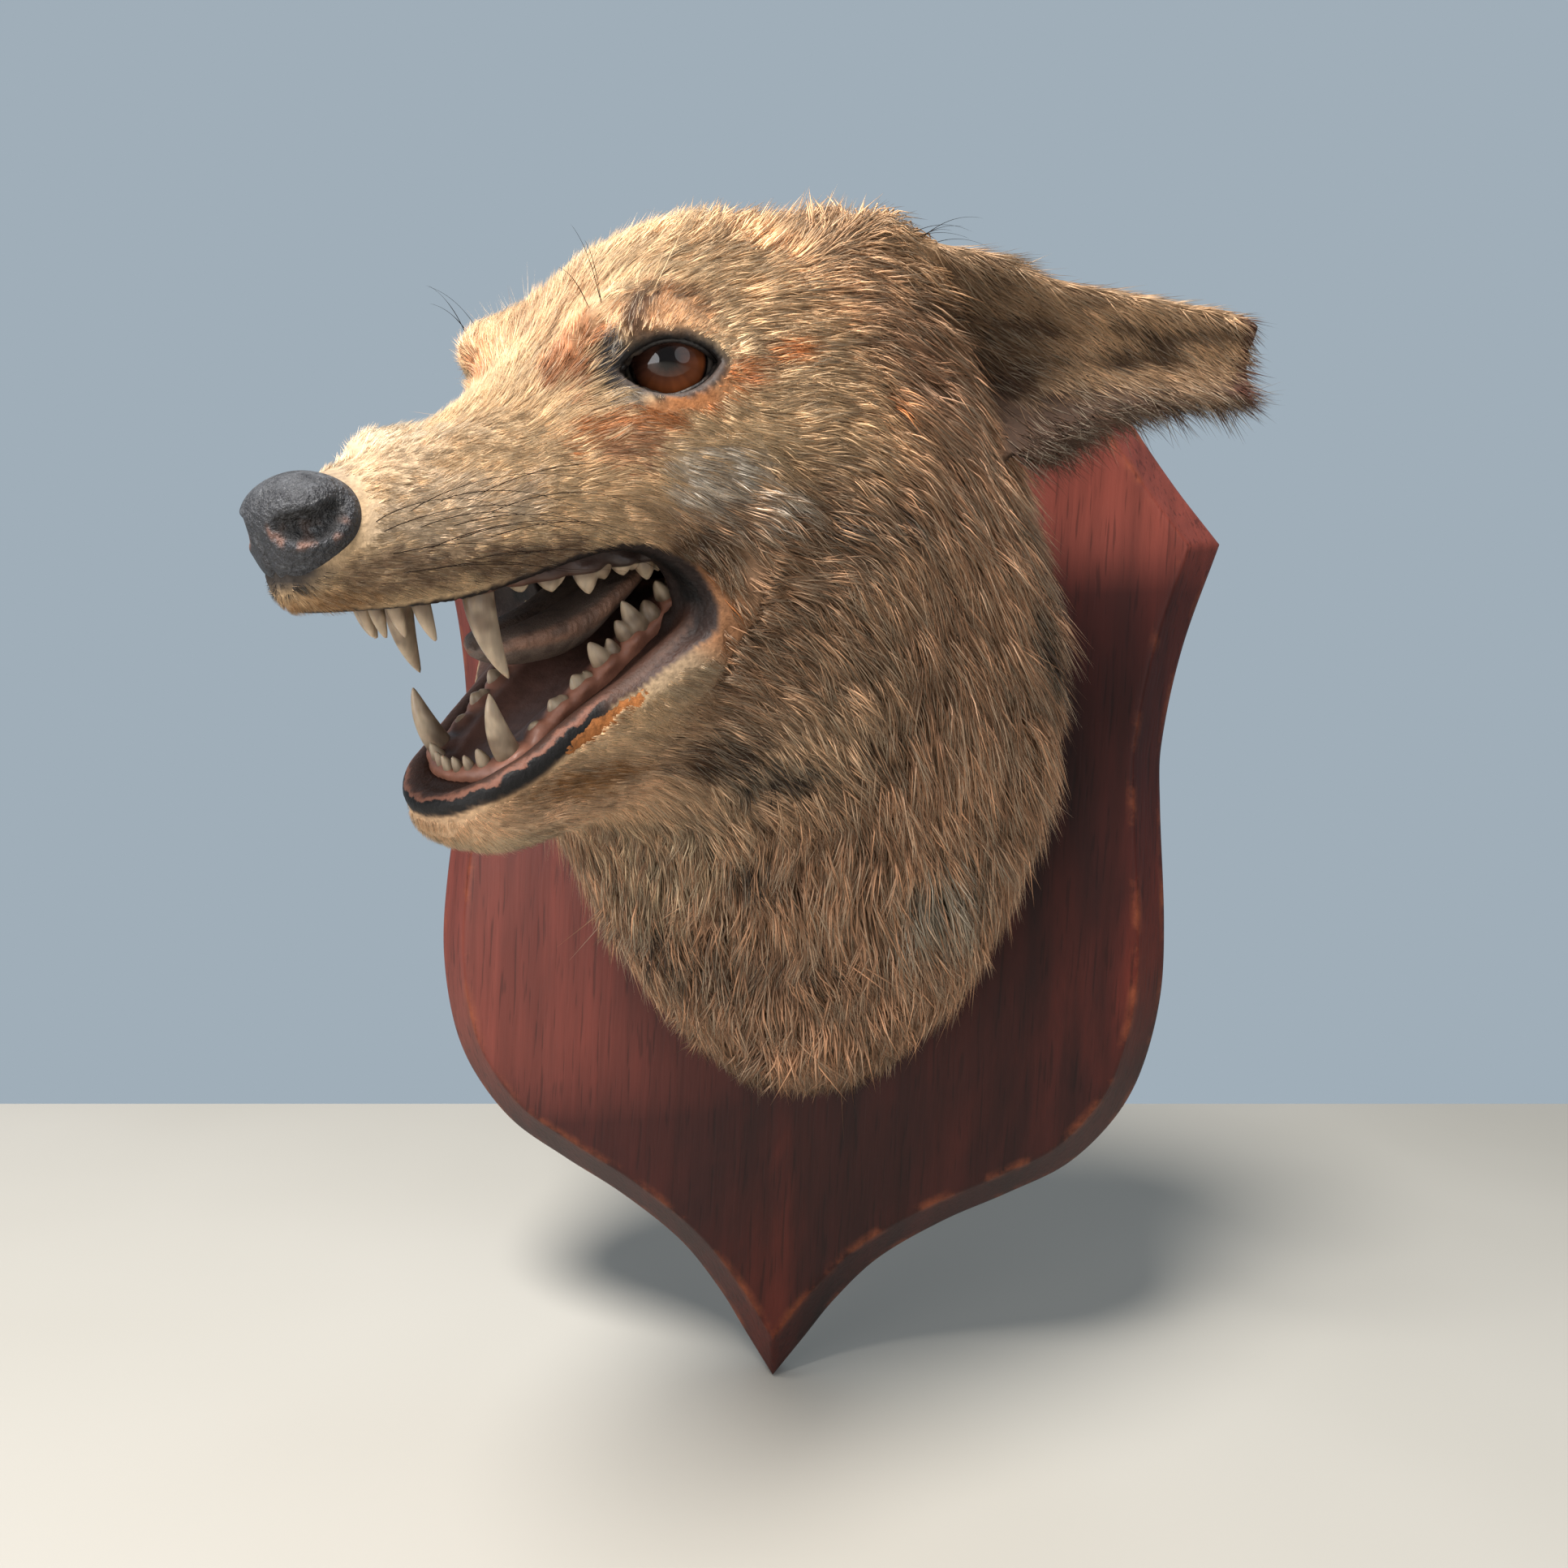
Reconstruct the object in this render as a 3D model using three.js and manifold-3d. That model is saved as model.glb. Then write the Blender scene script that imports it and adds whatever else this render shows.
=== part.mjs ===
// A fox mask on a trophy shield: head and neck of a snarling red fox, life size, in millimetres.
// +Z is up, the shield's back lies in the plane Y = 0 and the fox looks out towards -Y.
import * as THREE from "three";
import { mergeVertices } from "three/addons/utils/BufferGeometryUtils.js";
import Module from "manifold-3d";

const wasm = await Module();
wasm.setup();

// ---------------------------------------------------------------- driving dimensions

const GAP = 0.3; // clearance between neighbouring solids

const SHIELD_HEIGHT = 345;
const SHIELD_THICKNESS = 19;
const SHIELD_BEVEL = 10.7;
const SHIELD_TIP_Z = -SHIELD_HEIGHT / 2;

// The head's own frame has x forwards, y to the fox's left, z up and its origin midway between the eyes.
const HEAD_PLACE = [-44.1, -129, 109.8];
const HEAD_TURN = 32.9; // degrees towards the fox's right
const HEAD_NOD = 16.3; // degrees downwards
const HEAD_ROLL = -1.4; // degrees towards the fox's left
const EYE_PLACE = [-2.6, 22.6, 0.4];
const EYE_RADIUS = 9.5;

// How wide a fillet joins one form to the next
const CHEEK_FILLET = 14;
const RUFF_FILLET = 18;
const EAR_FILLET = 12;
const BROW_FILLET = 8;
const JAW_FILLET = 9;
const NECK_FILLET = 30;
const LIP_FILLET = 2;
const MOUTH_FILLET = 3;

// Flat cuts between the parts of the body, in the head's frame: [point, way that the plane faces]
const NECK_CUT = [[-95, 0, 40], [0.857, 0, 0.514]];
const MUZZLE_CUT = [[15, 0, 0], [1, 0, 0]];
// The lower jaw lies below both of these, which pass through the corner of the lips
const JAW_WAYS = [[-0.27, 0, -0.963], [0.53, 0, -0.848]];

const { degToRad } = THREE.MathUtils;
const headFrame = new THREE.Matrix4()
  .makeTranslation(...HEAD_PLACE)
  .multiply(new THREE.Matrix4().makeRotationZ(degToRad(-90 - HEAD_TURN)))
  .multiply(new THREE.Matrix4().makeRotationY(degToRad(HEAD_NOD)))
  .multiply(new THREE.Matrix4().makeRotationX(degToRad(HEAD_ROLL)));
const headFrameInverse = headFrame.clone().invert();

// ---------------------------------------------------------------- implicit shapes, negative inside

// Value at t of a smooth curve through rows of [t, a, b, ...], t ascending.
function along(rows, t, column) {
  let i = 0;
  while (i < rows.length - 2 && t > rows[i + 1][0]) i += 1;
  const before = rows[Math.max(i - 1, 0)];
  const here = rows[i];
  const next = rows[i + 1];
  const after = rows[Math.min(i + 2, rows.length - 1)];
  const span = next[0] - here[0];
  const s = Math.min(Math.max((t - here[0]) / span, 0), 1);
  const leave = ((next[column] - before[column]) / (next[0] - before[0])) * span;
  const arrive = ((after[column] - here[column]) / (after[0] - here[0])) * span;
  return (
    (2 * s ** 3 - 3 * s ** 2 + 1) * here[column] +
    (s ** 3 - 2 * s ** 2 + s) * leave +
    (3 * s ** 2 - 2 * s ** 3) * next[column] +
    (s ** 3 - s ** 2) * arrive
  );
}

// Both shapes together, with the valley where they meet filled over a width k.
function blend(a, b, k) {
  const h = Math.max(k - Math.abs(a - b), 0) / k;
  return Math.min(a, b) - (h * h * k) / 4;
}

// What the shapes share, with the edge rounded over a width k.
const common = (a, b, k) => -blend(-a, -b, k);

function ellipsoid([x, y, z], [cx, cy, cz], [rx, ry, rz]) {
  const u = [(x - cx) / rx, (y - cy) / ry, (z - cz) / rz];
  const near = Math.hypot(...u);
  const slope = Math.hypot(u[0] / rx, u[1] / ry, u[2] / rz);
  return slope < 1e-9 ? -Math.min(rx, ry, rz) : (near * (near - 1)) / slope;
}

// A form along t through rows of [t, half width, top, widest height, bottom]. Its section is an
// ellipse at power 2, and squarer above that.
function lofted(rows, t, side, height, power = 2) {
  const first = rows[0][0];
  const last = rows[rows.length - 1][0];
  const inside = Math.min(Math.max(t, first), last);
  const width = along(rows, inside, 1);
  const widest = along(rows, inside, 3);
  const reach = height > widest ? along(rows, inside, 2) - widest : widest - along(rows, inside, 4);
  const across = Math.abs(side / width) ** power;
  const up = Math.abs((height - widest) / reach) ** power;
  const ring = (across + up) ** (1 / power);
  const scale = (across * width + up * reach) / Math.max(across + up, 1e-9);
  return Math.max((ring - 1) * scale, first - t, t - last);
}

// Skull and muzzle out to the tips of the coat: [x, half width, top, widest height, bottom]
const HEAD_ROWS = [
  [-124, 16, 6, -22, -42],
  [-108, 36, 28, -16, -54],
  [-86, 44, 38, -12, -64],
  [-62, 45, 40, -10, -66],
  [-40, 44, 38.5, -10, -62],
  [-20, 40, 33, -10, -54],
  [-6, 36, 26, -12, -48],
  [6, 31, 17.5, -16, -43],
  [16, 26.5, 9, -20, -38],
  [26, 23, 1.5, -24, -36],
  [38, 20.5, -4, -27, -37],
  [50, 18, -7.5, -28, -38],
  [62, 15, -11, -27, -37.5],
  [70, 12, -14, -27, -36.5],
  [75, 8.5, -19, -27.5, -36],
  [78.5, 3, -26, -30, -33.5],
];
// Rounded forms that swell from it on both sides: [centre, radii]
const CHEEKBONE = [[-20, 28, -14], [28, 13, 15]];
const RUFF = [[-54, 34, -36], [42, 20, 36]];
const BROW = [[2, 19, 9], [15, 9, 8]];
const EAR_ROOT = [[-80, 28, 16], [32, 18, 24]];

const JAW_SQUARENESS = 2.8;
// Lower jaw, in the head's frame
const JAW_ROWS = [
  [-50, 34, -44, -58, -78],
  [-30, 34, -46, -60, -82],
  [-10, 31, -48, -64, -85],
  [6, 26.5, -50, -68, -87],
  [18, 23, -53, -72, -89.5],
  [30, 20, -57, -76, -91.5],
  [42, 17.4, -61, -79, -91.5],
  [50, 15, -65, -79, -90],
  [56, 11.5, -69, -79, -86.5],
  [60, 4, -75, -79, -81.5],
];

// The parted lips seen from the side: [x, upper lip, lower lip]
const LIP_ROWS = [
  [3.4, -46.5, -46.6],
  [5, -41, -51.5],
  [9, -36.8, -54.2],
  [14, -33.8, -57],
  [20, -32.6, -60.3],
  [28, -33.4, -63.4],
  [36, -34.8, -66.8],
  [50, -37, -73],
  [84, -37, -88],
];
const PALATE_Z = -31.7; // roof of the hollow that holds the upper gums
const GUM_SLOPE = 27; // degrees that the lower tooth row slopes
const LOWER_INCISORS = [48, 0, -71.3];
const LOWER_HOLLOW = -6.3; // floor of the hollow that holds the lower gums, below their edge

// Neck, in the shield's frame: [y, half width, top, widest height, bottom], and where its middle runs
const NECK_ROWS = [
  [-134, 20, 96, 70, 46],
  [-122, 38, 112, 62, 24],
  [-105, 54, 128, 54, 2],
  [-85, 66, 142, 50, -26],
  [-60, 74, 150, 47, -55],
  [-38, 76, 148, 46, -72],
  [-10, 71, 140, 45, -79],
];
const NECK_MIDDLE = [
  [-134, -26],
  [-100, -14],
  [-60, 0],
  [-10, 4],
];

function headField(x, y, z) {
  const side = Math.abs(y);
  let d = lofted(HEAD_ROWS, x, y, z);
  d = blend(d, ellipsoid([x, side, z], ...CHEEKBONE), CHEEK_FILLET);
  d = blend(d, ellipsoid([x, side, z], ...RUFF), RUFF_FILLET);
  d = blend(d, ellipsoid([x, side, z], ...EAR_ROOT), EAR_FILLET);
  return blend(d, ellipsoid([x, side, z], ...BROW), BROW_FILLET);
}

// The wedge between the parted lips, seen from the side.
function mouthField(x, z) {
  const top = along(LIP_ROWS, x, 1);
  const bottom = along(LIP_ROWS, x, 2);
  return common(common(z - top, bottom - z, MOUTH_FILLET), LIP_ROWS[0][0] - x, MOUTH_FILLET);
}

const local = new THREE.Vector3();
function fleshField(p) {
  const { x, y, z } = local.copy(p).applyMatrix4(headFrameInverse);
  const face = blend(headField(x, y, z), lofted(JAW_ROWS, x, y, z, JAW_SQUARENESS), JAW_FILLET);
  const neck = lofted(NECK_ROWS, p.y, p.x - along(NECK_MIDDLE, p.y, 1), p.z);
  return common(blend(face, neck, NECK_FILLET), -mouthField(x, z), LIP_FILLET);
}

// ---------------------------------------------------------------- solids

function toSolid(geometry) {
  const bare = new THREE.BufferGeometry()
    .setAttribute("position", geometry.getAttribute("position"))
    .setIndex(geometry.getIndex());
  const merged = mergeVertices(bare, 1e-4);
  return new wasm.Manifold(
    new wasm.Mesh({
      numProp: 3,
      vertProperties: new Float32Array(merged.attributes.position.array),
      triVerts: new Uint32Array(merged.index.array),
    }),
  );
}

function toGeometry(solid) {
  const { vertProperties, triVerts, numProp } = solid.getMesh();
  const positions = [];
  for (let i = 0; i < vertProperties.length; i += numProp)
    positions.push(vertProperties[i], vertProperties[i + 1], vertProperties[i + 2]);
  return new THREE.BufferGeometry()
    .setAttribute("position", new THREE.Float32BufferAttribute(positions, 3))
    .setIndex([...triVerts]);
}

// Evenly spaced marks from start to end, both kept, no further apart than step.
function marks(...spans) {
  const list = [];
  for (const [start, end, step] of spans) {
    const count = Math.ceil((end - start) / step);
    for (let i = 0; i <= count; i += 1) {
      const value = start + ((end - start) * i) / count;
      if (!list.length || value > list[list.length - 1] + 1e-6) list.push(value);
    }
  }
  return list;
}

const SLOPE_STEP = 0.4; // distance over which a field's slope is measured
const SETTLE_REACH = 2; // furthest that a point moves in one step towards the surface

// The point moved down the field's slope until it lies on the surface.
function settled(point, field) {
  const probe = new THREE.Vector3();
  for (let round = 0; round < 3; round += 1) {
    const slope = new THREE.Vector3();
    for (const axis of ["x", "y", "z"]) {
      probe.copy(point)[axis] += SLOPE_STEP;
      slope[axis] = field(probe);
      probe[axis] -= 2 * SLOPE_STEP;
      slope[axis] = (slope[axis] - field(probe)) / (2 * SLOPE_STEP);
    }
    const step = slope.multiplyScalar(-field(point) / slope.lengthSq());
    point.add(step.clampLength(0, SETTLE_REACH));
  }
  return point;
}

// Closed surface where the field is zero, found cell by cell on a grid laid in the given frame.
// The grid's outer layer counts as outside, so a form that runs past it is closed there.
function surfaceOf(field, frame, xs, ys, zs) {
  const at = (i, j, k) => (k * ys.length + j) * xs.length + i;
  const values = new Float64Array(xs.length * ys.length * zs.length);
  const p = new THREE.Vector3();
  const outer = (i, list) => i === 0 || i === list.length - 1;
  zs.forEach((z, k) =>
    ys.forEach((y, j) =>
      xs.forEach((x, i) => {
        const value = field(p.set(x, y, z).applyMatrix4(frame)) || 1e-9;
        const border = outer(i, xs) || outer(j, ys) || outer(k, zs);
        values[at(i, j, k)] = border ? Math.max(value, 1) : value;
      }),
    ),
  );
  const corners = [];
  for (let c = 0; c < 8; c += 1) corners.push([c & 1, (c >> 1) & 1, (c >> 2) & 1]);
  const edges = [];
  for (let a = 0; a < 8; a += 1)
    for (const bit of [1, 2, 4]) if (!(a & bit)) edges.push([a, a | bit]);
  const positions = [];
  const vertexOf = new Map();
  for (let k = 0; k < zs.length - 1; k += 1)
    for (let j = 0; j < ys.length - 1; j += 1)
      for (let i = 0; i < xs.length - 1; i += 1) {
        const sum = new THREE.Vector3();
        let hits = 0;
        for (const [a, b] of edges) {
          const [ca, cb] = [corners[a], corners[b]];
          const va = values[at(i + ca[0], j + ca[1], k + ca[2])];
          const vb = values[at(i + cb[0], j + cb[1], k + cb[2])];
          if (va < 0 === vb < 0) continue;
          const s = va / (va - vb);
          const mid = ca.map((v, axis) => v + (cb[axis] - v) * s);
          sum.x += xs[i] + (xs[i + 1] - xs[i]) * mid[0];
          sum.y += ys[j] + (ys[j + 1] - ys[j]) * mid[1];
          sum.z += zs[k] + (zs[k + 1] - zs[k]) * mid[2];
          hits += 1;
        }
        if (!hits) continue;
        vertexOf.set(at(i, j, k), positions.length / 3);
        const spot = settled(sum.divideScalar(hits).applyMatrix4(frame), field);
        positions.push(spot.x, spot.y, spot.z);
      }
  const indices = [];
  const quad = (cells, flip) => {
    const [a, b, c, d] = cells.map((cell) => vertexOf.get(cell));
    indices.push(...(flip ? [a, c, b, a, d, c] : [a, b, c, a, c, d]));
  };
  for (let k = 0; k < zs.length - 1; k += 1)
    for (let j = 0; j < ys.length - 1; j += 1)
      for (let i = 0; i < xs.length - 1; i += 1) {
        const here = values[at(i, j, k)] < 0;
        if (j && k && here !== values[at(i + 1, j, k)] < 0)
          quad([at(i, j - 1, k - 1), at(i, j, k - 1), at(i, j, k), at(i, j - 1, k)], !here);
        if (i && k && here !== values[at(i, j + 1, k)] < 0)
          quad([at(i - 1, j, k - 1), at(i - 1, j, k), at(i, j, k), at(i, j, k - 1)], !here);
        if (i && j && here !== values[at(i, j, k + 1)] < 0)
          quad([at(i - 1, j - 1, k), at(i, j - 1, k), at(i, j, k), at(i - 1, j, k)], !here);
      }
  return toSolid(
    new THREE.BufferGeometry()
      .setAttribute("position", new THREE.Float32BufferAttribute(positions, 3))
      .setIndex(indices),
  );
}

// The geometry with every face turned over.
function turnedOut(geometry) {
  return geometry.setIndex([...geometry.getIndex().array].reverse());
}

// Points round a ring, each made from the cosine and sine of its angle.
const around = (count, make) =>
  [...Array(count).keys()].map((i) => {
    const angle = (2 * Math.PI * i) / count;
    return make(Math.cos(angle), Math.sin(angle));
  });

// Closed skin over rings of points, each end drawn to a point that lies `bulge` further out.
function ringed(rings, bulge = 0) {
  const count = rings[0].length;
  const centre = (ring) =>
    ring.reduce((sum, p) => sum.add(p), new THREE.Vector3()).divideScalar(count);
  const last = rings.length - 1;
  const way = centre(rings[last]).sub(centre(rings[last - 1])).normalize();
  const points = [...rings.flat(), centre(rings[0]), centre(rings[last]).addScaledVector(way, bulge)];
  const indices = [];
  for (let j = 0; j < count; j += 1) {
    const next = (j + 1) % count;
    for (let i = 0; i < last; i += 1) {
      const [a, b] = [i * count + j, i * count + next];
      indices.push(a, b, b + count, a, b + count, a + count);
    }
    indices.push(points.length - 2, next, j);
    indices.push(points.length - 1, last * count + j, last * count + next);
  }
  const geometry = new THREE.BufferGeometry().setFromPoints(points).setIndex(indices);
  const solid = toSolid(geometry);
  return solid.volume() > 0 ? solid : toSolid(turnedOut(geometry));
}

const headPoint = (x, y, z) => new THREE.Vector3(x, y, z).applyMatrix4(headFrame);
const headWay = (x, y, z) => new THREE.Vector3(x, y, z).transformDirection(headFrame);

const CUTTER = 900; // edge of the blocks that cut flat faces

// Block that fills the space ahead of a plane moved forwards by `shift`.
function ahead(point, normal, shift = 0) {
  const block = new THREE.BoxGeometry(CUTTER, CUTTER, CUTTER).translate(0, 0, CUTTER / 2 + shift);
  const turn = new THREE.Quaternion().setFromUnitVectors(new THREE.Vector3(0, 0, 1), normal);
  return toSolid(block.applyQuaternion(turn).translate(point.x, point.y, point.z));
}

// The two sides of a flat cut, front first, with the gap between them.
const parted = (solid, point, normal) => [
  solid.intersect(ahead(point, normal, GAP / 2)),
  solid.intersect(ahead(point, normal.clone().negate(), GAP / 2)),
];

const part = new THREE.Group();
function add(name, geometry, color, roughness, metalness = 0) {
  const material = new THREE.MeshStandardMaterial({ color, roughness, metalness });
  const mesh = new THREE.Mesh(geometry, material);
  mesh.name = name;
  part.add(mesh);
}

const COAT = 0xa88558;
const NOSE_LEATHER = 0x1c1a19;
const EYE_GLASS = 0x3a1c0c;
const IVORY = 0xc9bda3;
const TONGUE = 0x7d5f58;
const MAHOGANY = 0x5a241c;

// ---------------------------------------------------------------- gums, teeth and tongue

// Frame of the lower tooth row: x forwards along the gums, z square to them, origin at the incisors.
const jawFrame = headFrame
  .clone()
  .multiply(new THREE.Matrix4().makeTranslation(...LOWER_INCISORS))
  .multiply(new THREE.Matrix4().makeRotationY(degToRad(GUM_SLOPE)));

// Outer edge of the gums on one side, from the back of the mouth to the front
const UPPER_ARCH = [
  [-20, 18],
  [-6, 20.5],
  [8, 21],
  [20, 19.3],
  [32, 17.2],
  [42, 15.8],
  [50, 15],
  [57, 11.5],
  [62, 6.5],
  [63.5, 0],
];
const LOWER_ARCH = [
  [-68, 18],
  [-56, 18.8],
  [-44, 17.8],
  [-30, 15.8],
  [-16, 14.2],
  [-6, 14.6],
  [-0.4, 12.2],
  [3.2, 7],
  [4, 0],
];

// A closed anticlockwise outline moved inwards, with mitred corners.
function insetOutline(outline, distance) {
  const normal = (a, b) => new THREE.Vector2(a.y - b.y, b.x - a.x).normalize();
  return outline.map((p, i) => {
    const before = normal(outline.at(i - 1), p);
    const after = normal(p, outline[(i + 1) % outline.length]);
    const reach = distance / (1 + before.dot(after));
    return p.clone().add(before.add(after).multiplyScalar(reach));
  });
}

// Plate with the arch for its outline, moved in by `inset`, from one height to another.
function plate(arch, inset, from, to, frame) {
  const left = new THREE.SplineCurve(arch.map(([x, y]) => new THREE.Vector2(x, y))).getPoints(13);
  const right = left.slice(0, -1).map(({ x, y }) => new THREE.Vector2(x, -y));
  const outline = insetOutline([...right, ...left.reverse()], inset);
  const depth = to - from;
  const geometry = new THREE.ExtrudeGeometry(new THREE.Shape(outline), { depth, bevelEnabled: false });
  return toSolid(geometry.translate(0, 0, from).applyMatrix4(frame));
}

const TOOTH_ROOT = 2.5; // how deep a tooth sits in its gum
const TOOTH_TIP = 0.1; // width of its tip as a share of its root
const TOOTH_TAPER = 1.6; // how late it narrows

// One tooth or cusp from root to tip; `hook` bows it forwards halfway up.
function tooth(frame, [x, y, z], [tipX, tipY, tipZ], length, breadth, hook = 0, fine = false) {
  const [sides, steps] = fine ? [7, 4] : [5, 1];
  const cone = new THREE.CylinderGeometry(1, 1, 1, sides, steps).translate(0, 0.5, 0);
  const place = cone.getAttribute("position");
  const start = new THREE.Vector3(x, y, z);
  const tip = new THREE.Vector3(tipX, tipY, tipZ);
  const height = start.distanceTo(tip);
  const axis = tip.clone().sub(start).divideScalar(height);
  const p = new THREE.Vector3();
  for (let i = 0; i < place.count; i += 1) {
    const t = place.getY(i);
    const taper = TOOTH_TIP + (1 - TOOTH_TIP) * (1 - t ** TOOTH_TAPER);
    p.copy(start)
      .addScaledVector(axis, t * (height + TOOTH_ROOT) - TOOTH_ROOT)
      .add(new THREE.Vector3((place.getX(i) * taper * length) / 2 + hook * t * (1 - t) * 4, 0, 0));
    p.y += (place.getZ(i) * taper * breadth) / 2;
    place.setXYZ(i, p.x, p.y, p.z);
  }
  if (axis.z > 0) turnedOut(cone);
  return toSolid(cone.applyMatrix4(frame));
}

const UPPER_GUM_Z = -36.4;
// [root, tip, length, breadth, hook] on one side of the upper jaw, in the head's frame
const UPPER_TEETH = [
  [[61.5, 1.9, -36.4], [60.5, 1.9, -43.5], 3, 3.2],
  [[60, 5.3, -36.4], [58.8, 5.4, -43.5], 3, 3.2],
  [[56.8, 8.8, -36.4], [55.2, 9.2, -45], 3.6, 3.2],
  [[46.3, 12.4, -36.4], [43.6, 13.8, -55.5], 7.4, 5.2, 1.2],
  [[37.5, 13.6, -36.4], [37.2, 13.8, -38.6], 5, 3],
  [[31, 14.8, -36.4], [31, 15.2, -39.6], 7, 3.4],
  [[22, 16.6, -36.4], [22.2, 17, -41], 8, 4],
  [[15.5, 17.2, -36.4], [15.5, 17.6, -38.8], 6, 4],
  [[6.5, 18, -36.4], [6.2, 18.2, -41.3], 8.5, 5.4],
];
// The same for the lower jaw, in its own frame
const LOWER_TEETH = [
  [[1.9, 1.6, 0], [1.6, 1.6, 4], 2.6, 2.6],
  [[1.2, 4.3, 0], [0.9, 4.4, 4], 2.6, 2.6],
  [[-0.4, 7, 0], [-0.7, 7.3, 4.6], 3, 2.8],
  [[-3.6, 10.6, 0], [-7, 11.9, 12.8], 6.8, 5.2, 0.8],
  [[-11.5, 11.4, 0], [-11, 11.4, 1.8], 4, 2.6],
  [[-18, 12.2, 0], [-17.5, 12.2, 2.6], 5.4, 2.8],
  [[-25, 13, 0], [-24.6, 13, 3], 6, 3],
  [[-33, 13.8, 0], [-32, 14, 6], 7.4, 3.8],
  [[-43, 14.8, 0], [-41.6, 15, 7.6], 8, 4.6],
  [[-48.5, 15.2, 0], [-48.5, 15.4, 4], 6, 4.6],
  [[-55.5, 15.6, 0], [-54.5, 15.8, 5.4], 6.4, 4.8],
];

function withTeeth(gums, rows, frame) {
  let solid = gums;
  for (const [root, tip, length, breadth, hook] of rows)
    for (const side of [1, -1]) {
      const [a, b] = [root, tip].map(([x, y, z]) => [x, y * side, z]);
      solid = solid.add(tooth(frame, a, b, length, breadth, hook, hook !== undefined));
    }
  return solid;
}

// The hollows that hold the tooth rows open into each other and stop at each other's gums
const MOUTH_DEPTH = 20;
const aboveLowerGums = ahead(
  new THREE.Vector3().applyMatrix4(jawFrame),
  new THREE.Vector3(0, 0, 1).transformDirection(jawFrame),
);
const abovePalate = ahead(headPoint(0, 0, PALATE_Z), headWay(0, 0, 1));
const upperHollow = plate(UPPER_ARCH, 0, PALATE_Z - MOUTH_DEPTH, PALATE_Z, headFrame)
  .intersect(aboveLowerGums);
const lowerHollow = plate(LOWER_ARCH, 0, LOWER_HOLLOW, MOUTH_DEPTH, jawFrame)
  .subtract(abovePalate);

// The arched roof of the mouth and the trough of the lower jaw, between the tooth rows:
// [centre along the row, radii]
const PALATE_ARCH = [20, [40, 9.5, 3.6]];
const JAW_TROUGH = [-50, [52, 9.5, 4]];
const scooped = (gums, [along, radii], z, frame) =>
  gums.subtract(
    toSolid(new THREE.SphereGeometry(1, 12, 6).scale(...radii).translate(along, 0, z).applyMatrix4(frame)),
  );
const upperPlate = plate(UPPER_ARCH, GAP, UPPER_GUM_Z, PALATE_Z - GAP, headFrame);
const upperGums = scooped(upperPlate, PALATE_ARCH, UPPER_GUM_Z, headFrame);
const lowerPlate = plate(LOWER_ARCH, GAP, LOWER_HOLLOW + GAP, 0, jawFrame);
const lowerGums = scooped(lowerPlate, JAW_TROUGH, 0, jawFrame);

const TONGUE_CURL = 0.016; // how steeply its edges rise
// Tongue, in the head's frame: [x, half width, top, widest height, bottom]
const TONGUE_ROWS = [
  [-8, 9, -37.8, -39.6, -41.6],
  [0, 11.5, -38.8, -42.2, -45.4],
  [8, 12.5, -41, -45.4, -49.8],
  [18, 12.5, -44, -49.4, -54.5],
  [28, 11.5, -46, -50.5, -55],
  [36, 8.5, -47, -50.2, -53.5],
  [40, 3, -49, -50.2, -51.5],
];
const tongue = ringed(
  marks([TONGUE_ROWS[0][0], TONGUE_ROWS[TONGUE_ROWS.length - 1][0], 5]).map((x) => {
    const [wide, top, widest, bottom] = [1, 2, 3, 4].map((column) => along(TONGUE_ROWS, x, column));
    return around(12, (c, s) => {
      const y = c * wide;
      const z = widest + s * (s > 0 ? top - widest : widest - bottom);
      return headPoint(x, y, z + TONGUE_CURL * y * y);
    });
  }),
);

// ---------------------------------------------------------------- nose, eyes and ears

// Nose: a rounded pad with a wing round each nostril and a foot on the lip: [centre, radii]
const NOSE_PAD = [[70.5, 0, -20.3], [9.2, 10, 8]];
const NOSE_WING = [[71, 6, -21.3], [7, 5.8, 6.2]];
const NOSE_FOOT = [[74, 0, -27], [4.4, 4.4, 4.6]];
const NOSTRIL = [[80.5, 7.4, -20.6], [6, 4, 3.6]];
const NOSE_FILLET = 4;
const NOSTRIL_FILLET = 2;

function noseField(p) {
  const { x, y, z } = local.copy(p).applyMatrix4(headFrameInverse);
  const side = Math.abs(y);
  let d = ellipsoid([x, y, z], ...NOSE_PAD);
  d = blend(d, ellipsoid([x, side, z], ...NOSE_WING), NOSE_FILLET);
  d = blend(d, ellipsoid([x, y, z], ...NOSE_FOOT), NOSE_FILLET);
  return common(d, -ellipsoid([x, side, z], ...NOSTRIL), NOSTRIL_FILLET);
}
const NOSE_GRID = [marks([58, 84, 3.4]), marks([-16, 16, 3.2]), marks([-35, -9, 3.2])];
const noseSolid = (clearance) =>
  surfaceOf((p) => noseField(p) - clearance, headFrame, ...NOSE_GRID);

const eyeSolid = (side, radius) =>
  toSolid(
    new THREE.SphereGeometry(radius, 14, 9)
      .translate(EYE_PLACE[0], EYE_PLACE[1] * side, EYE_PLACE[2])
      .applyMatrix4(headFrame),
  );

// The parted lids: an almond laid across the eye, turned outwards from straight ahead
const LID_PLACE = [7, 33.4, 0.4];
const LID_RADII = [9, 11, 6.6];
const LID_TURN = 49;

function lidOpening(side) {
  const almond = new THREE.SphereGeometry(1, 14, 8)
    .scale(...LID_RADII)
    .rotateZ(degToRad(LID_TURN))
    .translate(...LID_PLACE);
  if (side < 0) turnedOut(almond.scale(1, -1, 1));
  return toSolid(almond.applyMatrix4(headFrame));
}

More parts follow.
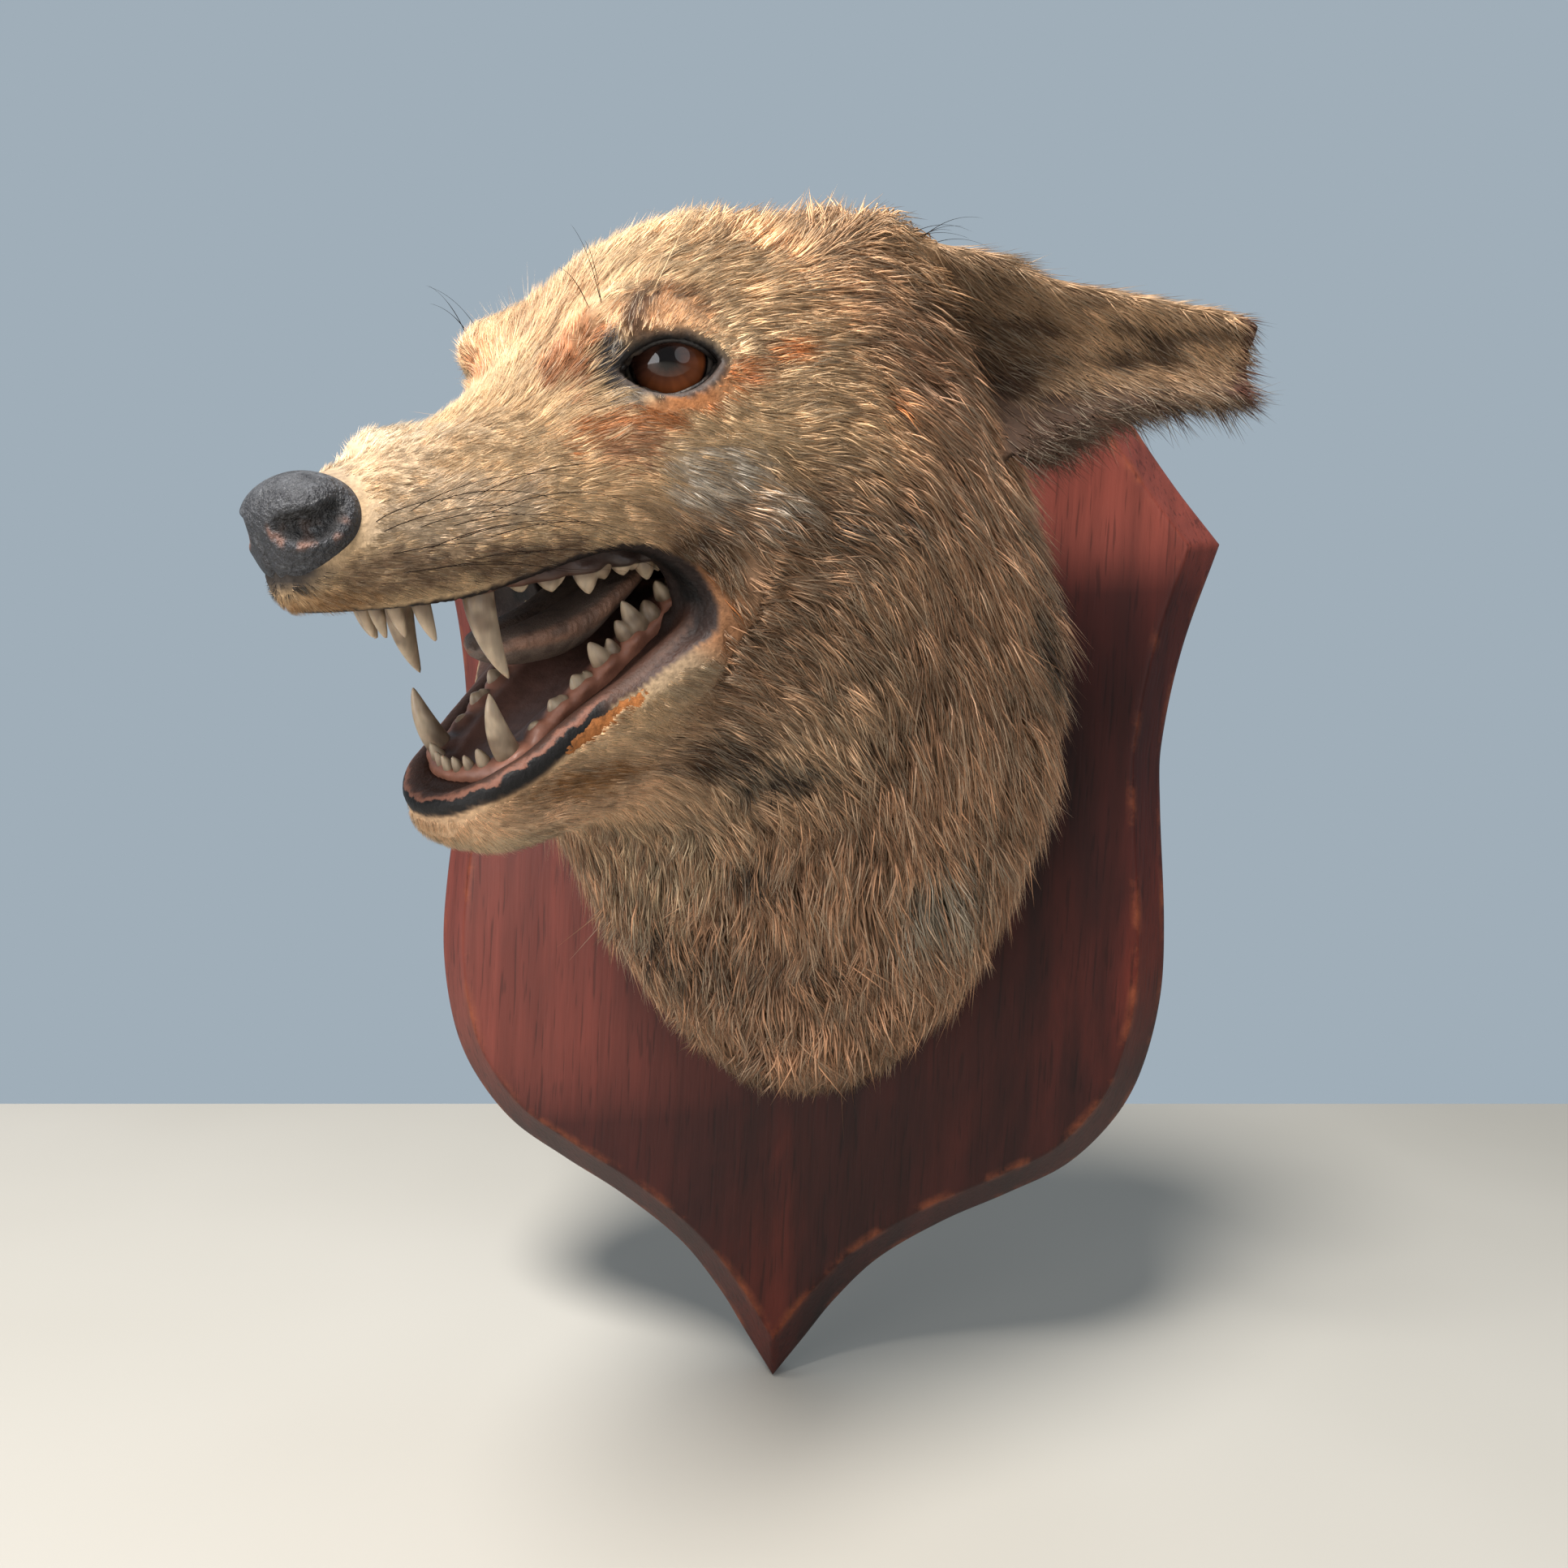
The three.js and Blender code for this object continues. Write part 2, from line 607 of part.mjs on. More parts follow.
// Ears, laid back: root and tip of the middle line, and the way that the open side faces
const EARS = {
  ear_left: { root: [-86, 36, 2], tip: [-133, 98, -9], face: [0.8, 0.6, 0] },
  ear_right: { root: [-80, -35, 10], tip: [-54, -86, -18], face: [0.8, 0.54, 0.25] },
};
// [distance along, width, depth of the cup, thickness, how far it hangs below the middle line]
const EAR_ROWS = [
  [0, 50, 5, 18, 2],
  [0.18, 52, 9, 15, 4],
  [0.36, 42, 9, 12, 4],
  [0.55, 32, 7, 10, 1],
  [0.8, 26, 4.5, 9.5, 0],
  [0.94, 23, 3.5, 9, 0],
  [1, 17, 3, 6.5, 0],
];

function earSolid({ root, tip, face }, clearance) {
  const start = headPoint(...root);
  const way = headPoint(...tip).sub(start);
  const axis = way.clone().normalize();
  const open = headWay(...face);
  open.addScaledVector(axis, -open.dot(axis)).normalize();
  const across = new THREE.Vector3().crossVectors(open, axis);
  return ringed(
    marks([0, 1, 0.11]).map((t) => {
      const [width, cup, thick, hang] = [1, 2, 3, 4].map((column) => along(EAR_ROWS, t, column));
      return around(14, (c, s) =>
        start
          .clone()
          .addScaledVector(way, t)
          .addScaledVector(across, c * (width / 2 + clearance) - hang)
          .addScaledVector(open, s * (thick / 2 + clearance) - cup * (1 - c * c)),
      );
    }),
    3,
  );
}

// ---------------------------------------------------------------- flesh, cut into its parts

const onShield = ahead(
  new THREE.Vector3(0, -SHIELD_THICKNESS - GAP, 0),
  new THREE.Vector3(0, -1, 0),
);
const placed = ([point, way]) => [headPoint(...point), headWay(...way)];
const neckCut = placed(NECK_CUT);
const muzzleCut = placed(MUZZLE_CUT);

function cutOut(flesh) {
  let solid = flesh.subtract(upperHollow).subtract(lowerHollow).subtract(noseSolid(GAP));
  for (const side of [1, -1])
    solid = solid.subtract(eyeSolid(side, EYE_RADIUS + GAP)).subtract(lidOpening(side));
  for (const ear of Object.values(EARS)) solid = solid.subtract(earSolid(ear, GAP));
  return solid;
}

// Grids over the neck, the head and the finer face: [start, end, step] along each axis
const NECK_GRID = [marks([-92, 102, 17]), marks([-150, 10, 16]), marks([-98, 192, 18])];
const HEAD_GRID = [
  marks([-142, -26, 13], [-26, 30, 8.5]),
  marks([-90, -40, 13], [-40, 40, 9], [40, 90, 13]),
  marks([-136, -96, 13], [-96, 64, 9.5]),
];
const FACE_GRID = [
  marks([-76, -8, 12], [-8, 84, 6.6]),
  marks([-66, -36, 10], [-36, 36, 7.2], [36, 66, 10]),
  marks([-126, -98, 9.5], [-98, 22, 6.6]),
];

const neckFlesh = surfaceOf(fleshField, new THREE.Matrix4(), ...NECK_GRID);
const neck = parted(cutOut(neckFlesh.intersect(onShield)), ...neckCut)[1];
const headFlesh = parted(cutOut(surfaceOf(fleshField, headFrame, ...HEAD_GRID)), ...neckCut)[0];
const faceFlesh = parted(cutOut(surfaceOf(fleshField, headFrame, ...FACE_GRID)), ...neckCut)[0];

const [corner] = LIP_ROWS;
const jawSide = (shift) => {
  const [below, behind] = JAW_WAYS.map((way) =>
    ahead(headPoint(corner[0], 0, corner[1]), headWay(...way), shift),
  );
  return below.intersect(behind);
};
const jaw = faceFlesh.intersect(jawSide(GAP / 2));
const [muzzle] = parted(faceFlesh.subtract(jawSide(-GAP / 2)), ...muzzleCut);
const head = parted(headFlesh.subtract(jawSide(-GAP / 2)), ...muzzleCut)[1];

add("neck", toGeometry(neck), COAT, 0.9);
add("head", toGeometry(head), COAT, 0.9);
add("muzzle", toGeometry(muzzle), COAT, 0.9);
add("lower_jaw", toGeometry(jaw), COAT, 0.9);
for (const [name, ear] of Object.entries(EARS)) add(name, toGeometry(earSolid(ear, 0)), COAT, 0.9);
add("nose", toGeometry(noseSolid(0)), NOSE_LEATHER, 0.5);
add("eye_left", toGeometry(eyeSolid(1, EYE_RADIUS)), EYE_GLASS, 0.1);
add("eye_right", toGeometry(eyeSolid(-1, EYE_RADIUS)), EYE_GLASS, 0.1);
add("upper_teeth", toGeometry(withTeeth(upperGums, UPPER_TEETH, headFrame)), IVORY, 0.5);
add("lower_teeth", toGeometry(withTeeth(lowerGums, LOWER_TEETH, jawFrame)), IVORY, 0.5);
add("tongue", toGeometry(tongue), TONGUE, 0.6);

// ---------------------------------------------------------------- shield

// Right half of the outline, from the tip up to the corner: [distance out, height above the tip]
const SHIELD_SIDE = [
  [0, 0],
  [9.6, 13.9],
  [18.6, 27],
  [32, 42],
  [52, 56],
  [71.6, 66.6],
  [89.5, 77.5],
  [103, 93],
  [110.2, 108.6],
  [114.5, 132],
  [114.2, 155],
  [110.5, 192],
  [109.6, 210],
  [113.8, 240],
  [122.8, 272.2],
];
// From the corner up to the flat top
const SHIELD_SHOULDER = [
  [122.8, 272.2],
  [108.4, 289],
  [94.3, 307.7],
  [69, SHIELD_HEIGHT],
];

function shieldSolid() {
  const curve = (points, count) =>
    new THREE.SplineCurve(points.map(([x, z]) => new THREE.Vector2(x, z))).getPoints(count);
  const side = curve(SHIELD_SIDE.slice(1), 32);
  const right = [new THREE.Vector2(), ...side, ...curve(SHIELD_SHOULDER, 5).slice(1)];
  const left = right.slice(1).map(({ x, y }) => new THREE.Vector2(-x, y)).reverse();
  const outline = [...right, ...left];
  const ring = (points, y) => points.map((p) => new THREE.Vector3(p.x, y, p.y + SHIELD_TIP_Z));
  return ringed([
    ring(outline, 0),
    ring(outline, SHIELD_BEVEL - SHIELD_THICKNESS),
    ring(insetOutline(outline, SHIELD_BEVEL), -SHIELD_THICKNESS),
  ]);
}
add("shield", toGeometry(shieldSolid()), MAHOGANY, 0.35);

export default part;
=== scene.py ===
import math

import bpy
import numpy as np
from mathutils import Matrix, Vector
from mathutils.kdtree import KDTree


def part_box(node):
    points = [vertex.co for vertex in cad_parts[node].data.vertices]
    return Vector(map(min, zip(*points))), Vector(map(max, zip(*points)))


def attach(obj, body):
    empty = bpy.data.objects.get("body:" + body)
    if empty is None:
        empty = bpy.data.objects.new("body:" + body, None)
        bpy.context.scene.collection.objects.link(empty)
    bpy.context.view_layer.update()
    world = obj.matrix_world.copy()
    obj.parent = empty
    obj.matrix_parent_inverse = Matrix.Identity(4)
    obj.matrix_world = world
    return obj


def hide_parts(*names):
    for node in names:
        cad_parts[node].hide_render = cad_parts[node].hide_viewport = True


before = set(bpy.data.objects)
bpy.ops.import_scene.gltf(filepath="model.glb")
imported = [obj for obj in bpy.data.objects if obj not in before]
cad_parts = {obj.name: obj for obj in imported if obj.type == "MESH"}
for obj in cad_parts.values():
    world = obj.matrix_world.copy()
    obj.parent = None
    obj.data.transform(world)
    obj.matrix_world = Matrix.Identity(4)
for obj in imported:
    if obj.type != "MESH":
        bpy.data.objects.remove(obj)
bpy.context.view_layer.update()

MM = 0.001  # the shapes below are worked out in millimetres

# ---------------------------------------------------------------- dimensions, as in the part

SHIELD_HEIGHT = (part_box("shield")[1][2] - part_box("shield")[0][2]) / MM
SHIELD_THICKNESS = (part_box("shield")[1][1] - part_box("shield")[0][1]) / MM
SHIELD_TIP_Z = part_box("shield")[0][2] / MM
SHIELD_BEVEL = 10.7
SHIELD_FRONT = -SHIELD_THICKNESS

HEAD_PLACE = np.array([-44.1, -129.0, 109.8])
HEAD_TURN = math.radians(32.9)
HEAD_NOD = math.radians(16.3)
HEAD_ROLL = math.radians(-1.4)
EYE_PLACE = np.array([-2.6, 22.6, 0.4])
EYE_RADIUS = 9.5

HEAD_AXES = np.array(
    Matrix.Rotation(-math.pi / 2 - HEAD_TURN, 3, "Z")
    @ Matrix.Rotation(HEAD_NOD, 3, "Y")
    @ Matrix.Rotation(HEAD_ROLL, 3, "X")
)


def to_head(points):
    """Head-frame place (x forwards, y to the fox's left, z up) of points in the part's frame."""
    return (points - HEAD_PLACE) @ HEAD_AXES


def from_head(points):
    return np.asarray(points, float) @ HEAD_AXES.T + HEAD_PLACE


def head_way(ways):
    return np.asarray(ways, float) @ HEAD_AXES.T


GUM_SLOPE = math.radians(27)
LOWER_INCISORS = np.array([48, 0, -71.3])
JAW_AXES = HEAD_AXES @ np.array(Matrix.Rotation(GUM_SLOPE, 3, "Y"))
JAW_PLACE = from_head(LOWER_INCISORS)


def to_jaw(points):
    """Place in the frame of the lower tooth row: x forwards along the gums, z square to them."""
    return (points - JAW_PLACE) @ JAW_AXES


def from_jaw(points):
    return np.asarray(points, float) @ JAW_AXES.T + JAW_PLACE


# ---------------------------------------------------------------- implicit shapes, negative inside


class Rows:
    """Smooth curves through rows of [t, a, b, ...], t ascending; level beyond both ends."""

    def __init__(self, rows):
        rows = np.array(rows, float)
        self.t = rows[:, 0]
        self.first, self.last = self.t[0], self.t[-1]
        around = np.vstack([rows[1:], rows[-1:]]) - np.vstack([rows[:1], rows[:-1]])
        slope = around[:, 1:] / around[:, :1]
        span, step = np.split(np.diff(rows, axis=0), [1], axis=1)
        leave, arrive = slope[:-1] * span, slope[1:] * span
        self.powers = np.stack(
            [rows[:-1, 1:], leave, 3 * step - 2 * leave - arrive, leave + arrive - 2 * step], axis=1
        )

    def __call__(self, t):
        i = np.clip(np.searchsorted(self.t, t, side="left") - 1, 0, len(self.t) - 2)
        s = np.clip((t - self.t[i]) / (self.t[i + 1] - self.t[i]), 0, 1)[:, None]
        a, b, c, d = np.moveaxis(self.powers[i], 1, 0)
        return (a + s * (b + s * (c + s * d))).T


def blend(a, b, k):
    """Both shapes together, with the valley where they meet filled over a width k."""
    h = np.maximum(k - np.abs(a - b), 0) / k
    return np.minimum(a, b) - h * h * k / 4


def common(a, b, k):
    """What the shapes share, with the edge rounded over a width k."""
    return -blend(-a, -b, k)


def ellipsoid(q, centre, radii):
    u = (q - np.array(centre)) / np.array(radii)
    near = np.linalg.norm(u, axis=1)
    slope = np.linalg.norm(u / np.array(radii), axis=1)
    return near * (near - 1) / np.maximum(slope, 1e-9)


def lofted(rows, t, side, height, power=2.0):
    """A form along t through rows of [t, half width, top, widest height, bottom]."""
    width, top, widest, bottom = rows(t)
    reach = np.where(height > widest, top - widest, widest - bottom)
    across = np.abs(side / width) ** power
    up = np.abs((height - widest) / reach) ** power
    ring = (across + up) ** (1 / power)
    scale = (across * width + up * reach) / np.maximum(across + up, 1e-9)
    return np.maximum((ring - 1) * scale, np.maximum(rows.first - t, t - rows.last))


def mirrored(q):
    return np.column_stack([q[:, 0], np.abs(q[:, 1]), q[:, 2]])


# Skull and muzzle out to the tips of the coat: [x, half width, top, widest height, bottom]
HEAD_ROWS = Rows([
    [-124, 16, 6, -22, -42], [-108, 36, 28, -16, -54], [-86, 44, 38, -12, -64],
    [-62, 45, 40, -10, -66], [-40, 44, 38.5, -10, -62], [-20, 40, 33, -10, -54],
    [-6, 36, 26, -12, -48], [6, 31, 17.5, -16, -43], [16, 26.5, 9, -20, -38],
    [26, 23, 1.5, -24, -36], [38, 20.5, -4, -27, -37], [50, 18, -7.5, -28, -38],
    [62, 15, -11, -27, -37.5], [70, 12, -14, -27, -36.5], [75, 8.5, -19, -27.5, -36],
    [78.5, 3, -26, -30, -33.5],
])
# [centre, radii, fillet] of the rounded forms that swell from it on both sides
CHEEKBONE = [[-20, 28, -14], [28, 13, 15], 14]
RUFF = [[-54, 34, -36], [42, 20, 36], 18]
EAR_ROOT = [[-80, 28, 16], [32, 18, 24], 12]
BROW = [[2, 19, 9], [15, 9, 8], 8]
# A lump under the skin of the muzzle, off to the far side: [centre, radii, fillet]
MUZZLE_LUMP = [[49, -4, -9], [8.5, 6, 4], 3]
JAW_ROWS = Rows([
    [-50, 34, -44, -58, -78], [-30, 34, -46, -60, -82], [-10, 31, -48, -64, -85],
    [6, 26.5, -50, -68, -87], [18, 23, -53, -72, -89.5], [30, 20, -57, -76, -91.5],
    [42, 17.4, -61, -79, -91.5], [50, 15, -65, -79, -90], [55, 11.5, -69, -79.5, -87],
    [58.4, 4, -75.5, -79.5, -82.5],
])
JAW_FILLET = 9
JAW_SQUARENESS = 2.8
NECK_ROWS = Rows([
    [-134, 20, 96, 70, 46], [-122, 38, 112, 62, 24], [-105, 54, 128, 54, 2],
    [-85, 66, 142, 50, -26], [-60, 74, 150, 47, -55], [-38, 76, 148, 46, -72],
    [-10, 71, 140, 45, -79],
])
NECK_MIDDLE = Rows([[-134, -26], [-100, -14], [-60, 0], [-10, 4]])
NECK_FILLET = 30

# The parted lips seen from the side: [x, upper lip, lower lip]
LIP_ROWS = Rows([
    [3.4, -46.5, -46.6], [5, -41, -51.5], [9, -36.8, -54.2], [14, -33.8, -57], [20, -32.6, -60.3],
    [28, -33.4, -63.4], [36, -34.8, -66.8], [50, -37, -73], [84, -37, -88],
])
MOUTH_FILLET = 3
PALATE_Z = -31.7
UPPER_GUM_Z = -36.4


def body_field(p, q):
    """The outside of the coat, with the mouth shut; q is p in the head's frame."""
    both = mirrored(q)
    d = lofted(HEAD_ROWS, q[:, 0], both[:, 1], q[:, 2])
    for centre, radii, fillet in (CHEEKBONE, RUFF, EAR_ROOT, BROW):
        d = blend(d, ellipsoid(both, centre, radii), fillet)
    centre, radii, fillet = MUZZLE_LUMP
    d = blend(d, ellipsoid(q, centre, radii), fillet)
    d = blend(d, lofted(JAW_ROWS, q[:, 0], q[:, 1], q[:, 2], JAW_SQUARENESS), JAW_FILLET)
    middle = NECK_MIDDLE(p[:, 1])[0]
    return blend(d, lofted(NECK_ROWS, p[:, 1], p[:, 0] - middle, p[:, 2]), NECK_FILLET)


def mouth_field(q):
    """The wedge between the parted lips."""
    top, bottom = LIP_ROWS(q[:, 0])
    d = common(q[:, 2] - top, bottom - q[:, 2], MOUTH_FILLET)
    return common(d, LIP_ROWS.first - q[:, 0], MOUTH_FILLET)


def slope_of(field, p, step=0.3):
    """A field's value and its slope."""
    value = field(p)
    slope = np.empty_like(p)
    for axis in range(3):
        moved = p.copy()
        moved[:, axis] += step
        slope[:, axis] = (field(moved) - value) / step
    return value, slope


def chunks(count, size=400_000):
    for start in range(0, count, size):
        yield slice(start, min(start + size, count))


def smoothstep(low, high, value):
    s = np.clip((value - low) / (high - low), 0, 1)
    return s * s * (3 - 2 * s)


def unit(v):
    return v / np.maximum(np.linalg.norm(v, axis=-1, keepdims=True), 1e-9)


def tube_field(q, tube, reach=9.0):
    """Distance outside a tube through [x, y, z, radius]; far from it, just a large number."""
    curve, radii = tube[:, :3], tube[:, 3]
    d = np.full(len(q), reach)
    close = np.all((q > curve.min(0) - reach) & (q < curve.max(0) + reach), axis=1)
    found = np.nonzero(close)[0]
    for part in chunks(len(found), 40_000):
        rows = found[part]
        gaps = np.linalg.norm(q[rows, None, :] - curve[None], axis=2) - radii[None]
        d[rows] = np.minimum(d[rows], gaps.min(1))
    return d


CORNERS = [(i, j, k) for k in (0, 1) for j in (0, 1) for i in (0, 1)]
NOISE_SIZE = 32
NOISE_SEED, WHISKER_SEED, COAT_SEED, EAR_SEED = 11, 5, 1911, 16
NOISE = np.random.default_rng(NOISE_SEED).uniform(-1, 1, (NOISE_SIZE, NOISE_SIZE, NOISE_SIZE, 3))


def noise_at(p, wavelength):
    """Three smooth random values from -1 to 1 that change over about a wavelength."""
    g = p / wavelength
    cell = np.floor(g).astype(int)
    f = g - cell
    f = f * f * (3 - 2 * f)
    total = np.zeros((len(p), 3))
    for corner in CORNERS:
        share = np.prod(np.where(corner, f, 1 - f), axis=1)
        i, j, k = ((cell + corner) % NOISE_SIZE).T
        total += share[:, None] * NOISE[i, j, k]
    return total


# ---------------------------------------------------------------- forms that the skin adds

# Rolled edge of the lips on one side, from the chin round the corner to the nose: [x, y, z, radius]
LIP_EDGE = [
    [56.8, 0, -76.8, 2.1], [55.6, 5.5, -76.2, 2.2], [52.6, 10, -75, 2.4],
    [48.7, 13.2, -73.4, 2.6], [42.6, 15.6, -71.2, 2.6], [35, 17.3, -67.6, 2.7],
    [27.4, 19, -64.4, 2.8], [19.4, 21, -61.2, 2.8], [10.8, 23.2, -56.3, 2.5],
    [4.4, 25.4, -51.4, 2], [1.8, 26.6, -46.5, 1.7], [3.6, 26.8, -41.6, 1.6],
    [8.2, 25.6, -36.8, 1.5], [13.4, 23.6, -33.6, 1.4], [20.5, 21.4, -32.2, 1.3],
    [27.7, 19.4, -32.9, 1.3], [35.2, 17.6, -34.2, 1.2], [42.5, 16, -35.4, 1.2],
    [50.4, 14.2, -36.3, 1.2], [60.8, 11.2, -36.1, 1.1], [68, 7.8, -35.4, 1.1],
    [72.3, 4, -34.6, 1], [73.6, 0, -34, 1],
]


def through(points, count):
    """Evenly spaced places on a smooth curve through the points."""
    points = np.array(points, float)
    gaps = np.linalg.norm(np.diff(points[:, :3], axis=0), axis=1)
    along_curve = np.concatenate([[0], np.cumsum(gaps)])
    curve = Rows(np.column_stack([along_curve, points]))
    return curve(np.linspace(0, along_curve[-1], count)).T


LIP_CURVE = through(LIP_EDGE, 260)
# Flesh that carries the muzzle's side down to the rim of the upper lip: [x, y, z, radius]
LIP_FLESH = through([
    [6, 26.5, -36, 3], [14, 23.4, -31, 3.4], [24, 18.6, -30, 4.2], [35, 15.8, -31.4, 4.2],
    [45, 13.8, -32.4, 4.2], [55, 12.2, -32.4, 4.1], [64, 8.8, -32, 3.8], [70, 4.6, -31.4, 3.4],
], 120)
FLESH_FILLET = 4.5

# The eye looks out along EYE_WAY; the lids part along EYE_SIDE, from the inner corner to the outer
EYE_TURN = math.radians(49)
EYE_WAY = np.array([math.cos(EYE_TURN), math.sin(EYE_TURN), 0])
EYE_SIDE = np.array([-math.sin(EYE_TURN), math.cos(EYE_TURN), 0])
LID_CENTRE = -0.9
LID_LENGTH = 10.2
LID_RISE = 4.9
LID_FALL = 5.3
LID_DROP = 0.7  # how far the corners lie below the middle of the ball
LID_THICKNESS = 1.5
LID_FLOOR = 3.4


def lens(u, v, half, rise, fall):
    """Almond of two arcs that meet at -half and +half."""
    parts = []
    for bow, way in ((rise, 1), (fall, -1)):
        radius = (half * half + bow * bow) / (2 * bow)
        parts.append(np.hypot(u, v * way + radius - bow) - radius)
    return np.maximum(*parts)


def lid_opening(r):
    """How far outside the parting of the lids a place lies, from the middle of the ball."""
    return lens(r @ EYE_SIDE - LID_CENTRE, r[:, 2] + LID_DROP, LID_LENGTH, LID_RISE, LID_FALL)


UPPER_ARCH = Rows([
    [-20, 18], [-6, 20.5], [8, 21], [20, 19.3], [32, 17.2], [42, 15.8], [50, 15], [57, 11.5],
    [62, 6.5], [63.5, 0],
])
LOWER_ARCH = Rows([
    [-68, 18], [-56, 18.8], [-44, 17.8], [-30, 15.8], [-16, 14.2], [-6, 14.6], [-0.4, 12.2],
    [3.2, 7], [4, 0],
])
LOWER_HOLLOW = -6.3
LOWER_REACH = 20  # how far above the lower gum line its hollow goes
HOLLOW_MARGIN = 0.8  # how far the hollows stay inside the arches
THROAT = [[-26, 0, -42], [24, 12, 8]]


def arch_field(rows, x, y):
    """How far outside the arch of a tooth row a place lies, seen from above."""
    inside = np.clip(x, rows.first, rows.last)
    lean = rows(inside + 0.4)[0] - rows(inside - 0.4)[0]
    d = (np.abs(y) - rows(inside)[0]) / np.hypot(1, lean / 0.8)
    return np.maximum(d, np.maximum(rows.first - x, x - rows.last))


def inner_mouth(q, j):
    """The hollows that hold the tooth rows, and the throat behind them."""
    x, y, z = q.T
    ends = np.maximum(z - PALATE_Z, -j[:, 2])
    upper = np.maximum(arch_field(UPPER_ARCH, x, y) + HOLLOW_MARGIN, ends)
    ends = np.maximum.reduce([LOWER_HOLLOW - j[:, 2], z - PALATE_Z, j[:, 2] - LOWER_REACH])
    lower = np.maximum(arch_field(LOWER_ARCH, j[:, 0], y) + HOLLOW_MARGIN, ends)
    return blend(blend(upper, lower, 1.5), ellipsoid(q, *THROAT), 4)


# Ears, laid back: root and tip of the middle line, and the way that the open side faces
EARS = {
    "ear_left": ([-86, 36, 2], [-133, 98, -9], [0.8, 0.6, 0]),
    "ear_right": ([-80, -35, 10], [-54, -86, -18], [0.8, 0.54, 0.25]),
}
# [distance along, width, depth of the cup, thickness, how far it hangs below the middle line]
EAR_ROWS = Rows([
    [-0.3, 44, 3, 5, 2], [0, 46, 7, 4.4, 2], [0.18, 47, 12, 3.6, 4], [0.36, 38, 12, 3.2, 4],
    [0.55, 28, 9, 3, 1], [0.8, 21, 6, 3, 0], [0.94, 18, 4.5, 3.2, 0], [1, 13, 3.5, 3, 0],
])


class Ear:
    def __init__(self, root, tip, face):
        self.start = from_head(root)
        way = from_head(tip) - self.start
        self.length = np.linalg.norm(way)
        self.axis = way / self.length
        open_way = head_way(face)
        self.open = unit(open_way - open_way @ self.axis * self.axis)
        self.across = np.cross(self.open, self.axis)

    def place(self, p):
        """How far along (0 to 1), across and out of the open side a place lies."""
        r = p - self.start
        return r @ self.axis / self.length, r @ self.across, r @ self.open

    def field(self, p):
        t, u, w = self.place(p)
        width, cup, thick, hang = EAR_ROWS(t)
        c = np.clip((u + hang) / (width / 2), -1.3, 1.3)
        lean = 4 * cup * c / width
        slab = np.abs(w + cup * (1 - c * c)) / np.hypot(1, lean) - thick / 2
        rim = np.maximum(np.abs(u + hang) - width / 2 + 1, (t - 1) * self.length + 1)
        worn = np.nonzero((t > 0.8) & (t < 1.15) & (np.abs(u) < 20) & (np.abs(w) < 14))[0]
        rim[worn] += (noise_at(p[worn], 6) @ [1.6, 0.8, 0]) * smoothstep(0.8, 0.95, t[worn])
        leaf = np.hypot(np.maximum(slab + thick / 2, 0), np.maximum(rim, 0)) - thick / 2
        leaf = np.where(rim > 0, leaf, slab)
        return np.maximum(leaf, (EAR_ROWS.first - t) * self.length)


ears = {name: Ear(*shape) for name, shape in EARS.items()}

# ---------------------------------------------------------------- skin

# How far the skin lies inside the tips of the coat, by head-frame x
DEPTH_ROWS = Rows([
    [-130, 8.5], [-90, 7.5], [-55, 6], [-25, 4.2], [0, 2.8], [20, 2.1], [45, 1.6], [65, 1.1],
    [80, 0.6],
])
NECK_DEPTH = 9.5
SLOPE_LIMITS = (0.4, 2.0)  # what a field's slope is taken to be at least and at most


def coat_depth(p, q):
    depth = DEPTH_ROWS(q[:, 0])[0]
    depth = depth + (NECK_DEPTH - depth) * smoothstep(-125, -60, p[:, 1])
    depth = depth * (0.35 + 0.65 * smoothstep(1, 10, mouth_field(q)))
    near_eye = np.linalg.norm(mirrored(q) - EYE_PLACE - EYE_WAY * 6, axis=1)
    return depth * (0.35 + 0.65 * smoothstep(8, 17, near_eye))


def whole_body(p):
    """The outside of the coat with the mouth shut, full over the upper lip."""
    q = to_head(p)
    flesh = tube_field(mirrored(q), LIP_FLESH)
    return blend(body_field(p, q), flesh, FLESH_FILLET)


def hide_field(p, q):
    """The skin with the mouth shut and no lids or ears: the coat grows out from here."""
    d, slope = slope_of(whole_body, p)
    return d / np.clip(np.linalg.norm(slope, axis=1), *SLOPE_LIMITS) + coat_depth(p, q)


EAR_FILLET = 6
GUM_EDGE = 1.2  # where the gap between the lips meets the hollows of the tooth rows
MOUTH_EDGE = 1.6
LIP_FILLET = 2.2
LID_FILLET = 3.5
LID_EDGE = 1.0
GLASS_GAP = 0.15  # the lids stand this far off the eye's ball, and the glass as far within it
WALL_GAP = 0.3  # between the skin and the shield


def skin_field(p):
    """The bare skin, with lips, lids and ears, hollow at the mouth and the eyes."""
    q = to_head(p)
    both = mirrored(q)
    d = hide_field(p, q)
    for ear in ears.values():
        d = blend(d, ear.field(p), EAR_FILLET)
    d = common(d, -blend(mouth_field(q), inner_mouth(q, to_jaw(p)), GUM_EDGE), MOUTH_EDGE)
    d = blend(d, tube_field(both, LIP_CURVE), LIP_FILLET)
    r = both - EYE_PLACE
    ball = np.linalg.norm(r, axis=1) - EYE_RADIUS
    d = blend(d, np.maximum(ball - LID_THICKNESS, -r @ EYE_WAY), LID_FILLET)
    d = common(d, -np.maximum(lid_opening(r), LID_FLOOR - r @ EYE_WAY), LID_EDGE)
    d = np.maximum(d, GLASS_GAP - ball)
    return np.maximum(d, p[:, 1] - SHIELD_FRONT + WALL_GAP)


